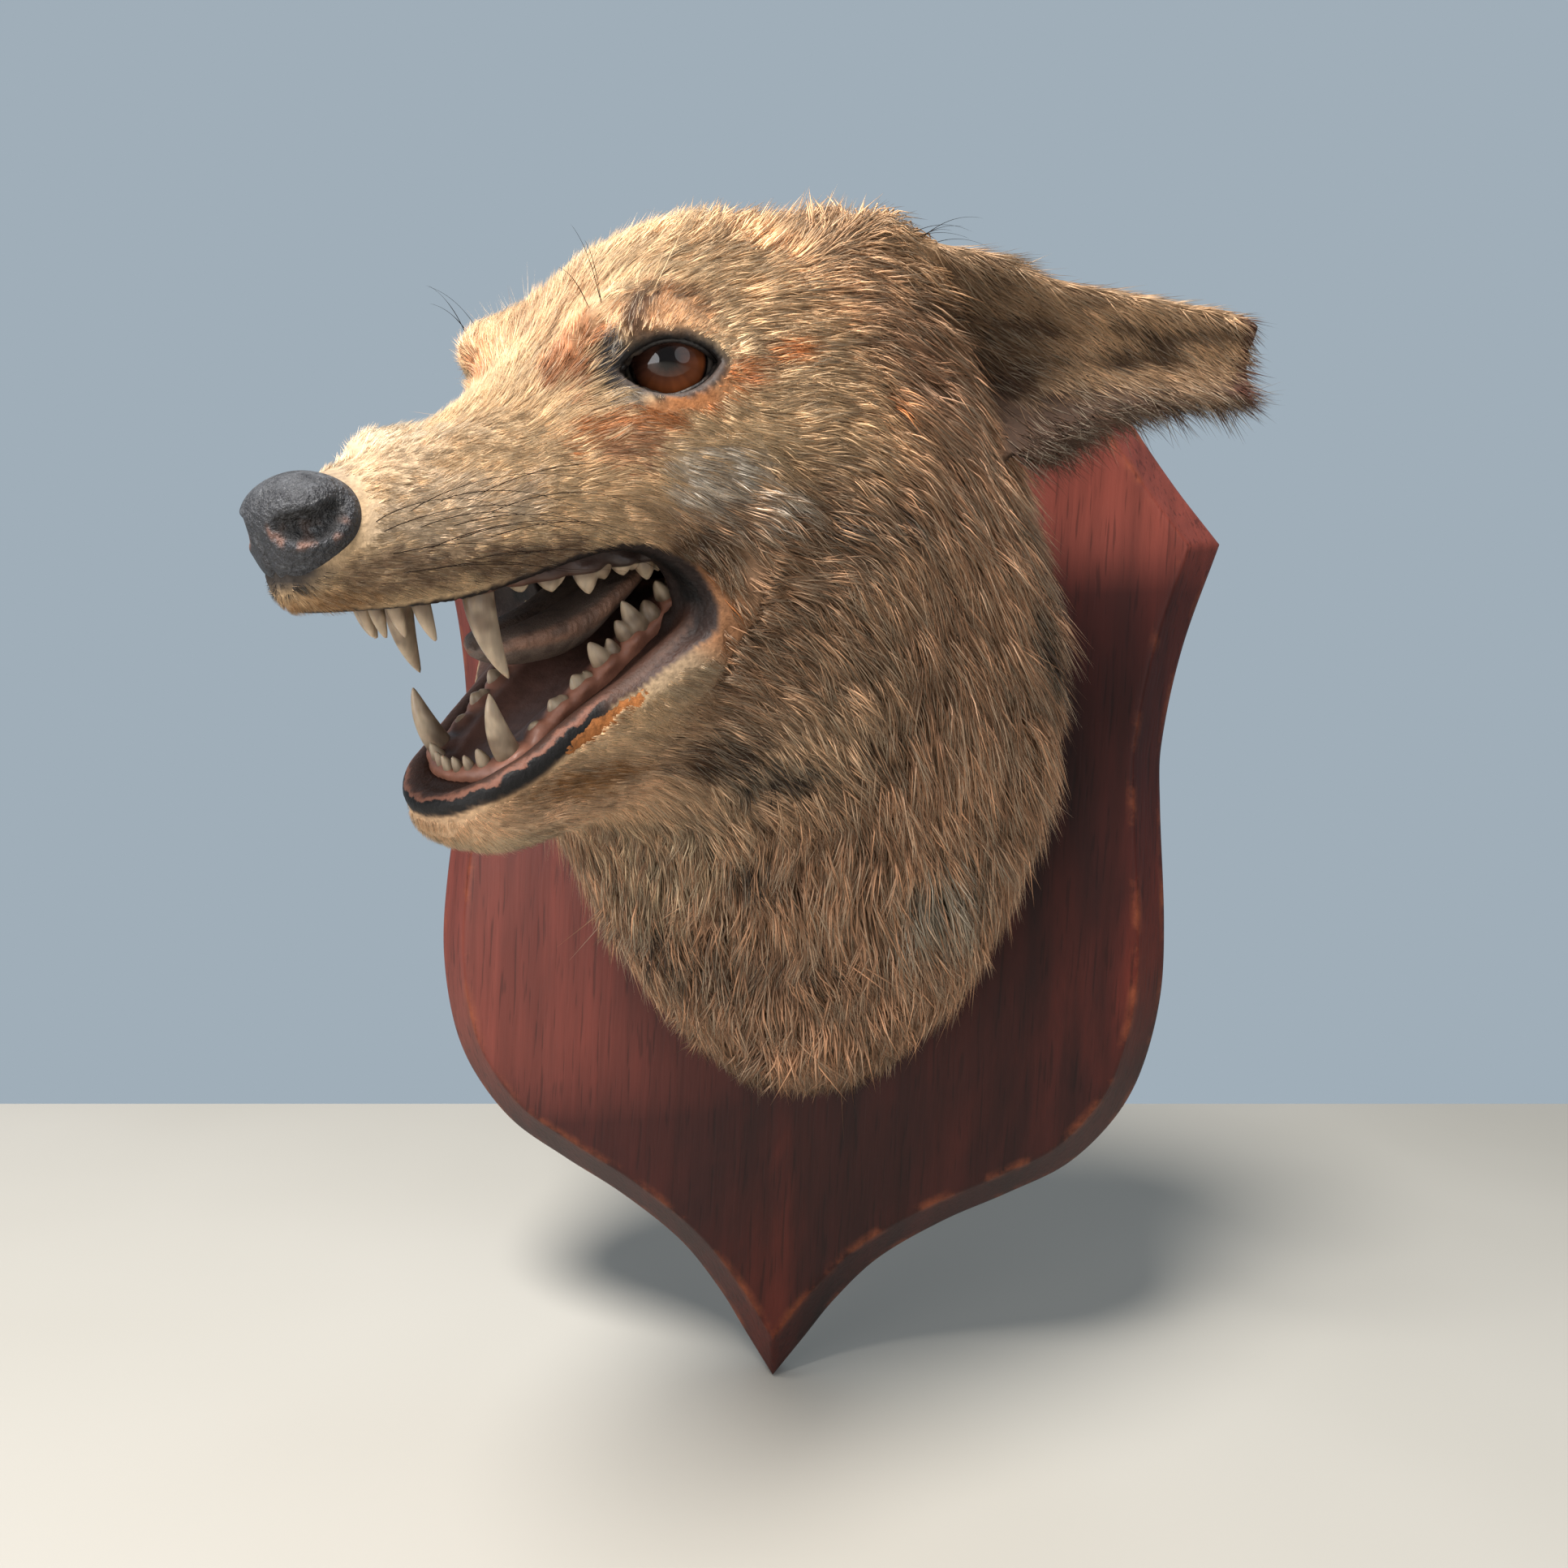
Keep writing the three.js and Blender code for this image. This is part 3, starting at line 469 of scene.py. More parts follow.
def marks(*spans):
    """Grid lines over spans of (start, end, step)."""
    lines = [spans[0][0]]
    for start, end, step in spans:
        count = int(math.ceil((end - start) / step))
        lines.extend(start + (end - start) * (i + 1) / count for i in range(count))
    return np.array(lines, float)


def shifted(grid, corner):
    """The grid as seen from each cell's given corner."""
    i, j, k = corner
    nx, ny, nz = grid.shape
    return grid[i:nx - 1 + i, j:ny - 1 + j, k:nz - 1 + k]


def at_points(field, points):
    values = np.empty(len(points))
    for part in chunks(len(points)):
        values[part] = field(points[part])
    return values


BLOCK = 4  # grid lines to a block, for passing over blocks that the surface doesn't come near


def surface_of(field, xs, ys, zs, settle=2):
    """Vertices and quads of the surface where the field is zero, one vertex to a cell."""
    lines = (xs, ys, zs)
    shape = tuple(len(line) for line in lines)
    picks = [np.array(sorted({*range(0, n - 1, BLOCK), n - 1})) for n in shape]
    coarse = [line[pick] for line, pick in zip(lines, picks)]
    grid = np.stack(np.meshgrid(*coarse, indexing="ij"), axis=-1)
    values = at_points(field, grid.reshape(-1, 3)).reshape(grid.shape[:3])
    sizes = [np.diff(line) for line in coarse]
    diagonal = np.sqrt(sum(s.reshape([-1 if a == axis else 1 for a in range(3)]) ** 2
                           for axis, s in enumerate(sizes)))
    nearest = np.min([np.abs(shifted(values, c)) for c in CORNERS], axis=0)
    inside = np.array([shifted(values, c) < 0 for c in CORNERS])
    near = (nearest < 0.9 * diagonal) | (inside.any(0) & ~inside.all(0))
    block_of = [
        np.searchsorted(pick, np.arange(n - 1), side="right") - 1 for pick, n in zip(picks, shape)
    ]
    cells = near[np.ix_(*block_of)]
    wanted = np.zeros(shape, bool)
    for corner in CORNERS:
        shifted(wanted, corner)[cells] = True
    found = np.nonzero(wanted)
    points = np.column_stack([line[index] for line, index in zip(lines, found)])
    values = np.ones(shape, np.float32)
    values[found] = at_points(field, points)
    for axis, n in enumerate(shape):
        for end in (0, n - 1):
            edge = np.moveaxis(values, axis, 0)[end]
            np.maximum(edge, 1e-3, out=edge)
    inside = values < 0
    count = sum(shifted(inside, c).astype(np.int8) for c in CORNERS)
    cell = np.nonzero((count > 0) & (count < 8) & cells)
    base = np.stack(cell, axis=1)
    low = np.column_stack([line[index] for line, index in zip(lines, cell)])
    size = np.column_stack([line[index + 1] - line[index] for line, index in zip(lines, cell)])
    corner_values = np.stack([values[tuple((base + c).T)] for c in CORNERS], axis=1)
    total = np.zeros((len(base), 3))
    hits = np.zeros(len(base))
    for a, ca in enumerate(CORNERS):
        for b, cb in enumerate(CORNERS):
            if sum(abs(m - n) for m, n in zip(ca, cb)) != 1 or a > b:
                continue
            va, vb = corner_values[:, a], corner_values[:, b]
            crossed = (va < 0) != (vb < 0)
            s = np.where(crossed, va / np.where(crossed, va - vb, 1), 0)[:, None]
            total += np.where(crossed[:, None], np.array(ca) + (np.array(cb) - np.array(ca)) * s, 0)
            hits += crossed
    vertices = low + size * total / hits[:, None]
    reach = size.min(1, keepdims=True) * 0.6
    for _ in range(settle):
        for part in chunks(len(vertices)):
            value, slope = slope_of(field, vertices[part])
            step = -slope * (value / np.maximum((slope ** 2).sum(1), 0.05))[:, None]
            length = np.linalg.norm(step, axis=1, keepdims=True)
            vertices[part] += step * np.minimum(1, reach[part] / np.maximum(length, 1e-9))
    ids = np.full(tuple(n - 1 for n in shape), -1, np.int32)
    ids[cell] = np.arange(len(base))
    quads = []
    for axis in range(3):
        b, c = (axis + 1) % 3, (axis + 2) % 3
        view = np.transpose(ids, (axis, b, c))
        sign = np.transpose(inside, (axis, b, c))
        here, there = sign[:-1, 1:-1, 1:-1], sign[1:, 1:-1, 1:-1]
        corners = [view[:, :-1, :-1], view[:, 1:, :-1], view[:, 1:, 1:], view[:, :-1, 1:]]
        crossing = (here != there)
        ring = np.stack([corner[crossing] for corner in corners], axis=1)
        flip = ~here[crossing]
        ring[flip] = ring[flip][:, ::-1]
        quads.append(ring[(ring >= 0).all(1)])
    return vertices, np.concatenate(quads)


# ---------------------------------------------------------------- meshes


def ring_faces(rings, sides):
    """Triangles between closed rings of vertices that follow one another."""
    a = np.arange((rings - 1) * sides)
    b = a + 1 - sides * (a % sides == sides - 1)
    above = np.column_stack([a, b + sides, a + sides])
    return np.concatenate([np.column_stack([a, b, b + sides]), above])


def fan(ring, middle):
    return np.column_stack([ring, np.roll(ring, -1), np.full(len(ring), middle)])


def tube_faces(rings, sides):
    """The same, closed by the two vertices that come after the rings."""
    start, end = fan(np.arange(sides)[::-1], rings * sides), fan(np.arange(sides), 1 + sides)
    return np.concatenate([ring_faces(rings, sides), start, end + (rings - 1) * sides])


def make_mesh(name, vertices, faces, colours=None, values=None, patches=None):
    """A piece from arrays: vertices in millimetres, faces all with the same number of corners."""
    mesh = bpy.data.meshes.new(name)
    count, corners = faces.shape
    mesh.vertices.add(len(vertices))
    mesh.vertices.foreach_set("co", (np.asarray(vertices) * MM).astype(np.float32).ravel())
    mesh.loops.add(count * corners)
    mesh.loops.foreach_set("vertex_index", faces.astype(np.int32).ravel())
    mesh.polygons.add(count)
    mesh.polygons.foreach_set("loop_start", np.arange(0, count * corners, corners, dtype=np.int32))
    mesh.polygons.foreach_set("use_smooth", np.ones(count, bool))
    if colours is not None:
        layer = mesh.attributes.new("colour", "FLOAT_COLOR", "POINT")
        rgba = np.column_stack([colours, np.ones(len(colours))]).astype(np.float32)
        layer.data.foreach_set("color", rgba.ravel())
    for key, value in (values or {}).items():
        layer = mesh.attributes.new(key, "FLOAT", "POINT")
        layer.data.foreach_set("value", np.asarray(value, np.float32).ravel())
    if patches is not None:
        mesh.uv_layers.new(name="OFBake").data.foreach_set(
            "uv", patches[faces.ravel()].astype(np.float32).ravel())
    mesh.update(calc_edges=True)
    piece = bpy.data.objects.new(name, mesh)
    bpy.context.scene.collection.objects.link(piece)
    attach(piece, "root")
    return piece


def srgb(red, green, blue):
    """Linear colour from the usual 0 to 255 values."""
    c = np.array([red, green, blue]) / 255
    return np.where(c <= 0.04045, c / 12.92, ((c + 0.055) / 1.055) ** 2.4)


# ---------------------------------------------------------------- materials

NODE_COLUMN = 220


class Surface:
    """A material under construction: short names for the few kinds of node that it uses."""

    def __init__(self, name):
        self.material = bpy.data.materials.new(name)
        self.material.use_nodes = True
        self.tree = self.material.node_tree
        self.shader = self.tree.nodes["Principled BSDF"]
        self.place = self.node("ShaderNodeTexCoord").outputs["Object"]

    def node(self, kind, **settings):
        node = self.tree.nodes.new(kind)
        node.location.x = -NODE_COLUMN * len(self.tree.nodes)
        for key, value in settings.items():
            setattr(node, key, value)
        return node

    def link(self, source, target):
        if isinstance(source, (int, float)):
            target.default_value = source
        elif isinstance(source, (tuple, list, np.ndarray)):
            target.default_value = (*source, 1.0)[:len(target.default_value)]
        else:
            self.tree.links.new(source, target)

    def set(self, **values):
        for key, value in values.items():
            self.link(value, self.shader.inputs[key.replace("_", " ")])
        return self

    def noise(self, scale, detail=4.0, roughness=0.5, stretch=(1, 1, 1), distortion=0.0):
        node = self.node("ShaderNodeTexNoise")
        mapping = self.node("ShaderNodeMapping")
        mapping.inputs["Scale"].default_value = stretch
        self.link(self.place, mapping.inputs["Vector"])
        self.link(mapping.outputs[0], node.inputs["Vector"])
        node.inputs["Scale"].default_value = scale
        node.inputs["Detail"].default_value = detail
        node.inputs["Roughness"].default_value = roughness
        node.inputs["Distortion"].default_value = distortion
        return node.outputs["Fac"]

    def ramp(self, value, *stops):
        node = self.node("ShaderNodeValToRGB")
        self.link(value, node.inputs[0])
        elements = node.color_ramp.elements
        while len(elements) < len(stops):
            elements.new(0.5)
        for element, (position, colour) in zip(elements, stops):
            element.position = position
            element.color = (*colour, 1) if np.ndim(colour) else (colour, colour, colour, 1)
        return node.outputs[0]

    def mix(self, factor, a, b, blend_type="MIX"):
        node = self.node("ShaderNodeMix", data_type="RGBA", blend_type=blend_type)
        self.link(factor, node.inputs[0])
        self.link(a, node.inputs[6])
        self.link(b, node.inputs[7])
        return node.outputs[2]

    def speckled(self, share, grain, low, high, colour=None):
        """The colour attribute, darkened or brightened by a grain."""
        colour = self.attribute("colour") if colour is None else colour
        return self.mix(share, colour, self.ramp(grain, low, high), "MULTIPLY")

    def math(self, operation, a, b=0.0, clamp=False):
        node = self.node("ShaderNodeMath", operation=operation, use_clamp=clamp)
        self.link(a, node.inputs[0])
        self.link(b, node.inputs[1])
        return node.outputs[0]

    def attribute(self, name, output="Color"):
        return self.node("ShaderNodeAttribute", attribute_name=name).outputs[output]

    def bump(self, height, strength, distance, under=None):
        node = self.node("ShaderNodeBump")
        node.inputs["Strength"].default_value = strength
        node.inputs["Distance"].default_value = distance
        self.link(height, node.inputs["Height"])
        if under is not None:
            self.link(under, node.inputs["Normal"])
        return node.outputs[0]


def grained(name, noise, share, low, high, roughness, strength, distance):
    """A surface of the colour attribute under a grain, which also roughens it."""
    s = Surface(name)
    grain = s.noise(*noise)
    s.set(Base_Color=s.speckled(share, grain, low, high))
    s.set(Roughness=roughness, Normal=s.bump(grain, strength, distance))
    return s


def dress(piece, slot, surface, *nodes):
    """Give a piece its material, and hide the CAD nodes that it stands for; slot is not used."""
    piece.data.materials.append(surface.material)
    if nodes:
        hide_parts(*nodes)


# ---------------------------------------------------------------- camera, light and stage

PHOTO_SIZE = 1932  # pixels each way
PHOTO_MIDDLE = (964, 966)  # the pixel that the lens looks at squarely
LENS_PIXELS = 1451
CAMERA_PLACE = (0.0220, -0.3786, 0.0403)
CAMERA_RIGHT = (0.99553, 0.07975, 0.05061)
CAMERA_UP = (-0.0548, 0.05131, 0.99718)
SENSOR = 36.0


def make_camera():
    data = bpy.data.cameras.new("camera")
    data.sensor_width = SENSOR
    data.lens = SENSOR * LENS_PIXELS / PHOTO_SIZE
    data.shift_x = (PHOTO_SIZE / 2 - PHOTO_MIDDLE[0]) / PHOTO_SIZE
    data.shift_y = (PHOTO_MIDDLE[1] - PHOTO_SIZE / 2) / PHOTO_SIZE
    data.clip_start = 0.01
    camera = bpy.data.objects.new("camera", data)
    right, up = np.array(CAMERA_RIGHT), np.array(CAMERA_UP)
    axes = Matrix(np.column_stack([right, up, np.cross(right, up)]).tolist()).to_4x4()
    camera.matrix_world = Matrix.Translation(CAMERA_PLACE) @ axes
    bpy.context.scene.collection.objects.link(camera)
    bpy.context.scene.camera = camera


def sight(x, y):
    """The way that the camera looks through a place in the photograph."""
    right, up = np.array(CAMERA_RIGHT), np.array(CAMERA_UP)
    sideways = right * (x - PHOTO_MIDDLE[0]) + up * (PHOTO_MIDDLE[1] - y)
    return sideways / LENS_PIXELS - np.cross(right, up)


def make_light(name, place, target, size, power, colour=(1, 1, 1)):
    data = bpy.data.lights.new(name, "AREA")
    data.shape = "DISK"
    data.size = size
    data.energy = power
    data.color = colour
    light = bpy.data.objects.new(name, data)
    facing = (Vector(place) - Vector(target)).to_track_quat("Z", "Y")
    light.matrix_world = Matrix.Translation(place) @ facing.to_matrix().to_4x4()
    bpy.context.scene.collection.objects.link(light)


FLOOR_LINE = 1360  # the photograph's row where the floor ends
FLOOR_REACH = 2.5


def make_stage():
    """A plain pale floor under the shield's tip; its far edge lies level across the picture."""
    height = (SHIELD_TIP_Z - 0.2) * MM
    corners = []
    for x in (0, PHOTO_SIZE):
        way = sight(x, FLOOR_LINE)
        far = np.array(CAMERA_PLACE) + way * (height - CAMERA_PLACE[2]) / way[2]
        corners.append(far)
    sideways = unit(corners[1] - corners[0]) * FLOOR_REACH
    forwards = np.array([0, -FLOOR_REACH, 0])
    far_left, far_right = corners[0] - sideways, corners[1] + sideways
    places = np.array([far_left + forwards, far_right + forwards, far_right, far_left])
    floor = make_mesh("floor", places / MM, np.array([[0, 1, 2, 3]]))
    s = Surface("floor")
    cloud = s.ramp(s.noise(3, 3), (0.3, srgb(172, 168, 159)), (0.7, srgb(181, 177, 169)))
    s.set(Base_Color=cloud, Roughness=0.6)
    floor.data.materials.append(s.material)
    bpy.context.scene.world = studio()


def studio():
    """Soft light all round, brighter and bluer behind the piece, as from a pale backdrop."""
    world = bpy.data.worlds.new("studio")
    world.use_nodes = True
    tree = world.node_tree
    place = tree.nodes.new("ShaderNodeTexCoord")
    axes = tree.nodes.new("ShaderNodeSeparateXYZ")
    shade = tree.nodes.new("ShaderNodeValToRGB")
    tree.links.new(place.outputs["Generated"], axes.inputs[0])
    tree.links.new(axes.outputs["Y"], shade.inputs[0])
    tree.links.new(shade.outputs[0], tree.nodes["Background"].inputs[0])
    front, back = shade.color_ramp.elements
    front.position, back.position = 0.05, 0.45
    front.color = (*srgb(128, 132, 136), 1)
    back.color = (*srgb(160, 174, 185), 1)
    return world


make_camera()
make_stage()
make_light("key", (-0.3, -0.72, 1.08), (0, -0.1, 0.02), 0.45, 37, (1.0, 0.97, 0.93))
make_light("window", (-0.7, -1.1, -0.02), (0, -0.1, 0), 0.8, 10, (0.97, 0.98, 1.0))
make_light("fill", (0.85, -0.95, 0.35), (0, -0.1, 0), 0.9, 3, (0.97, 0.98, 1.0))
bpy.context.scene.view_settings.view_transform = "Standard"

# ---------------------------------------------------------------- markings


def mixed(a, b, share):
    return a + (b - a) * np.reshape(share, (-1, 1))


SANDY = srgb(232, 196, 152)
FAWN = srgb(232, 186, 140)
AGOUTI = srgb(184, 143, 109)
THROAT_BUFF = srgb(232, 190, 150)
NECK_BROWN = srgb(190, 144, 110)
CREAM = srgb(206, 180, 146)
TAN = srgb(222, 168, 120)
ORANGE = srgb(206, 132, 78)
PINKISH = srgb(206, 148, 106)
GRIZZLE = srgb(220, 208, 192)
UMBER = srgb(92, 64, 44)
SLATE = srgb(66, 66, 70)
GREY_BROWN = srgb(124, 108, 90)
DUSK = srgb(68, 52, 42)
NOSE_BLACK = srgb(46, 46, 50)

# Spots of colour in the head's frame, on both sides: [centre, radii, colour, share]
SPOTS = [
    # The two pale spots on the muzzle's top and its lump: partly its own cream colour, partly
    # painted highlight where the light falls on them.
    [[58, 0, -12], [24, 12, 8], srgb(238, 208, 172), 0.7],
    [[49, 3, -6], [8, 7, 4], srgb(240, 218, 188), 0.7],
    [[0, 28, 11], [12, 8, 6], srgb(190, 140, 98), 0.85],
    [[10, 0, 14], [18, 16, 11], srgb(206, 166, 126), 0.7],
    [[67, 0, -14], [4, 9, 6], srgb(150, 132, 116), 0.5],
    [[50, 15, -22], [20, 6, 7], srgb(234, 206, 174), 0.7],
    [[60, 13, -31], [18, 6, 4], srgb(144, 114, 88), 0.7],
    [[36, 19, -33], [18, 6, 4.5], srgb(128, 98, 74), 0.75],
    [[72, 0, -35], [10, 12, 3.5], srgb(176, 134, 92), 0.8],
    [[77, 2, -29], [6, 8, 3], NOSE_BLACK, 0.95],
    [[18, 14, 6], [8, 7, 12], srgb(192, 130, 88), 0.8],
    [[8, 27, 12], [10, 6, 6], ORANGE, 0.6],
    [[9.5, 26.5, 9.5], [2.4, 4, 4], UMBER, 0.95],
    [[5.5, 26, 12.5], [3, 4, 3], UMBER, 0.85],
    [[2, 25.5, 15.5], [3, 4, 2.6], UMBER, 0.6],
    [[-1, 31, 9], [9, 6, 5], TAN, 0.6],
    [[14.5, 24, 0.5], [4.2, 6, 5.4], SLATE, 1],
    [[15, 25, -6], [6, 4, 2.2], srgb(190, 184, 176), 0.6],
    [[23, 24, -11.5], [9, 6, 4.5], ORANGE, 0.8],
    [[14, 29, -10], [10, 6, 3.8], ORANGE, 0.85],
    [[5, 36, -7], [9, 6, 3.2], ORANGE, 0.95],
    [[-5, 39, -3], [9, 7, 3], ORANGE, 0.75],
    [[-20, 41, 1], [14, 7, 3.4], ORANGE, 0.65],
    [[-31, 44, 1], [6, 6, 2], UMBER, 0.6],
    [[17, 27, -14], [9, 6, 5], PINKISH, 0.7],
    [[-39, 38, 14], [8, 8, 4.5], GREY_BROWN, 0.75],
    [[-47, 53, -12], [10, 8, 4.5], ORANGE, 0.6],
    [[-51, 55, -17], [9, 8, 3.2], DUSK, 0.75],
    [[5, 38, -23], [11, 9, 8], GRIZZLE, 0.6],
    [[-6, 44, -30], [11, 9, 5], GRIZZLE, 0.5],
    [[-64, 59, -30], [9, 9, 12], GRIZZLE, 0.65],
    [[-23, 53, -36.5], [9, 9, 1.8], DUSK, 0.9],
    [[-35, 56, -37.5], [9, 9, 2], DUSK, 0.95],
    [[-46, 59, -41], [7, 8, 2], DUSK, 0.8],
    [[-88, 47, 10], [11, 12, 9], DUSK, 0.85],
    [[-72, 44, 22], [8, 9, 4], ORANGE, 0.5],
    [[-76, 44, 15], [12, 9, 4], UMBER, 0.6],
    [[-62, 41, 25], [8, 9, 3], UMBER, 0.5],
    [[7, 31, -39], [6, 7, 7], UMBER, 0.7],
    [[5, 34, -50], [7, 8, 9], ORANGE, 0.5],
    [[14, 30, -60], [10, 7, 6], CREAM, 0.55],
    [[36, 20, -78], [18, 7, 4], srgb(170, 122, 76), 0.75],
    [[48, 8, -89], [18, 14, 5], CREAM, 0.8],
    # Painted shade: a dark band along the underside of the jaw, where it meets the neck.
    [[8, 29, -80], [13, 9, 6], UMBER, 0.8],
    [[-6, 37, -87], [14, 10, 6], DUSK, 0.7],
    [[-30, 48, -90], [14, 12, 8], UMBER, 0.4],
    [[-10, 22, -115], [12, 11, 7], DUSK, 0.6],
    [[-5, 17, -140], [10, 10, 8], DUSK, 0.65],
    [[-15, 2, -149], [16, 12, 11], UMBER, 0.6],
    [[-24, 19, -151], [12, 10, 10], DUSK, 0.5],
    [[-54, 49, -140], [20, 16, 16], srgb(156, 146, 130), 0.6],
    # Painted shade: a dark band down the sides of the neck at the back.
    [[-100, 60, -58], [16, 14, 34], DUSK, 0.55],
    [[4, 0, -116], [16, 28, 26], CREAM, 0.5],
]
SPOT_EDGE = (1.45, 0.55)  # in radii: where a spot begins, and where it is full
SPOT_WANDER = 0.3


def coat_colour(p, q, chance=None):
    """The coat's own colour; with each hair's chance, spots end in a mixture of hairs."""
    both = mirrored(q)
    x, _, z = both.T
    tone = mixed(SANDY, FAWN, smoothstep(0, -70, x))
    cheek = smoothstep(-14, -34, z) * smoothstep(26, 2, x)
    behind = 0.8 * smoothstep(-45, -70, x) * smoothstep(20, -5, z)
    tone = mixed(tone, AGOUTI, np.maximum(cheek, behind))
    neck = smoothstep(-122, -98, p[:, 1]) * smoothstep(160, 120, p[:, 2])
    tone = mixed(tone, NECK_BROWN, neck)
    tone = mixed(tone, THROAT_BUFF, smoothstep(-62, -84, z) * (1 - neck))
    wander = noise_at(p, 7) @ [0.5, 0.3, 0.2] + 0.5 * noise_at(p, 2.6)[:, 0]
    for centre, radii, colour, share in SPOTS:
        gap = np.linalg.norm((both - centre) / np.array(radii), axis=1)
        share = share * smoothstep(*SPOT_EDGE, gap + SPOT_WANDER * wander)
        if chance is not None:
            share = smoothstep(chance - 0.25, chance + 0.25, share) * smoothstep(0, 0.12, share)
        tone = mixed(tone, colour, share)
    return tone * (1 + 0.16 * noise_at(p, 17)[:, [1]] + 0.10 * noise_at(p, 5)[:, [2]])


EAR_BUFF = srgb(232, 190, 148)
EAR_DARK = srgb(88, 64, 48)
EAR_TIP = srgb(104, 66, 52)


def ear_colour(ear, p):
    """Buff back and upper edge, streaked face, dark lower edge, a hollow near the root darkened as
    painted shade, worn brown tip.
    """
    t, u, w = ear.place(p)
    width = EAR_ROWS(t)[0]
    streak = noise_at(np.column_stack([t * 7, u * 0.5, w * 0.3]), 1)
    tone = mixed(EAR_BUFF, EAR_DARK, 0.9 * smoothstep(0.05, 0.5, streak[:, 0] + 0.3 * streak[:, 1]))
    tone = mixed(tone, EAR_BUFF, smoothstep(0.5, 1, u / width * 2) * 0.8)
    lower = smoothstep(0.2, 0.9, -(u / width) * 2 + 0.3 * streak[:, 2])
    # Painted shade in the ear's hollow near its root.
    hollow = smoothstep(0.5, 0.25, t) * smoothstep(-0.8, 0.3, -u / width)
    tone = mixed(tone, EAR_DARK, np.maximum(lower, hollow))
    scab = 1 + 0.5 * noise_at(p, 1.8)[:, [0]]
    return mixed(tone, EAR_TIP * scab, smoothstep(0.93, 0.97, t + 0.03 * streak[:, 0]))


# ---------------------------------------------------------------- bare skin of the mouth and lids

LIP_CORNER = int(np.argmin(LIP_CURVE[:, 0] + np.abs(LIP_CURVE[:, 2] + 46)))
LIP_TURN = np.gradient(LIP_CURVE[:, :3], axis=0)
LIP_OUT = unit(np.column_stack([-LIP_TURN[:, 1], LIP_TURN[:, 0], np.zeros(len(LIP_TURN))]))
LIP_OUT *= np.where(LIP_OUT @ [0.6, 0.8, 0] < 0, -1, 1)[:, None]
LIP_GAP_MIDDLE = np.column_stack([
    LIP_CURVE[:, 0] + 6,
    LIP_CURVE[:, 1],
    LIP_ROWS(np.clip(LIP_CURVE[:, 0] + 6, 4, 60)).mean(0),
])
LIP_OPEN = unit(LIP_GAP_MIDDLE - LIP_CURVE[:, :3])


def lip_place(both):
    """Where a place lies on the lips: across them (-1 within, 1 without), how near, how low."""
    across = np.full(len(both), 9.0)
    gap = np.full(len(both), 9.0)
    lower = np.zeros(len(both))
    near = np.nonzero(tube_field(both, LIP_CURVE) < 6)[0]
    for part in chunks(len(near), 40_000):
        rows = near[part]
        r = both[rows, None, :] - LIP_CURVE[None, :, :3]
        distance = np.linalg.norm(r, axis=2)
        pick = distance.argmin(1)
        r = r[np.arange(len(rows)), pick]
        radius = LIP_CURVE[pick, 3]
        across[rows] = ((r * LIP_OUT[pick]).sum(1) - (r * LIP_OPEN[pick]).sum(1)) / radius
        gap[rows] = distance.min(1) - radius
        lower[rows] = smoothstep(LIP_CORNER + 2, LIP_CORNER - 14, pick)
    return across, gap, lower


def lid_lens(both):
    """How far outside the parting of the lids a place lies, or a large number away from it."""
    r = both - EYE_PLACE
    opening = lid_opening(r)
    return np.where((r @ EYE_WAY > 1.5) & (np.linalg.norm(r, axis=1) < 16), opening, 20)


MOUTH_DARK = srgb(44, 33, 30)
MOUTH_BROWN = srgb(88, 60, 49)
LIP_BLACK = srgb(17, 15, 15)
LIP_PINK = srgb(126, 84, 68)
LIP_BEIGE = srgb(88, 64, 53)
LID_BLACK = srgb(30, 26, 25)
LID_GREY = srgb(84, 72, 66)
OCHRE = srgb(160, 100, 54)
# Where the lower lip's paint has flaked: [x, y, z, radius]
FLAKE = through([[37, 19.2, -69.6, 0.9], [28, 22, -66.2, 1.5], [18, 25, -61.6, 1]], 30)


def bare_skin(p, q):
    """What the lips' material needs, how bare the skin is among it, and its bare colour."""
    both = mirrored(q)
    j = to_jaw(p)
    lining = blend(mouth_field(q), inner_mouth(q, j), GUM_EDGE)
    within = smoothstep(0.8, 0.3, lining)
    across, gap, lower = lip_place(both)
    front = smoothstep(22, 33, both[:, 0] + 3 * noise_at(p, 5)[:, 0])
    edge = 0.15 + (0.35 + 0.95 * front) * lower  # the upper lip is bare only at its rim
    on_lip = smoothstep(edge + 0.2, edge - 0.15, across) * smoothstep(2.4, 1.2, gap)
    lid = lid_lens(both)
    on_lid = smoothstep(1.1, 0.4, lid)
    tone = mixed(MOUTH_DARK, MOUTH_BROWN, smoothstep(-6, 8, -j[:, 2]) * smoothstep(2, 14, q[:, 0]))
    tone = mixed(tone, LIP_BLACK, on_lip * (1 - lower))
    lid_tone = mixed(LID_BLACK, LID_GREY, smoothstep(0.5, -1.5, q[:, 2] - EYE_PLACE[2]))
    tone = mixed(tone, lid_tone, on_lid)
    values = {
        "bare": np.maximum.reduce([within, on_lip, on_lid]),
        "across": across,
        "lower": lower * on_lip,
        "front": front,
        "flake": smoothstep(1.6, -0.4, tube_field(both, FLAKE)) * lower,
    }
    return values, tone


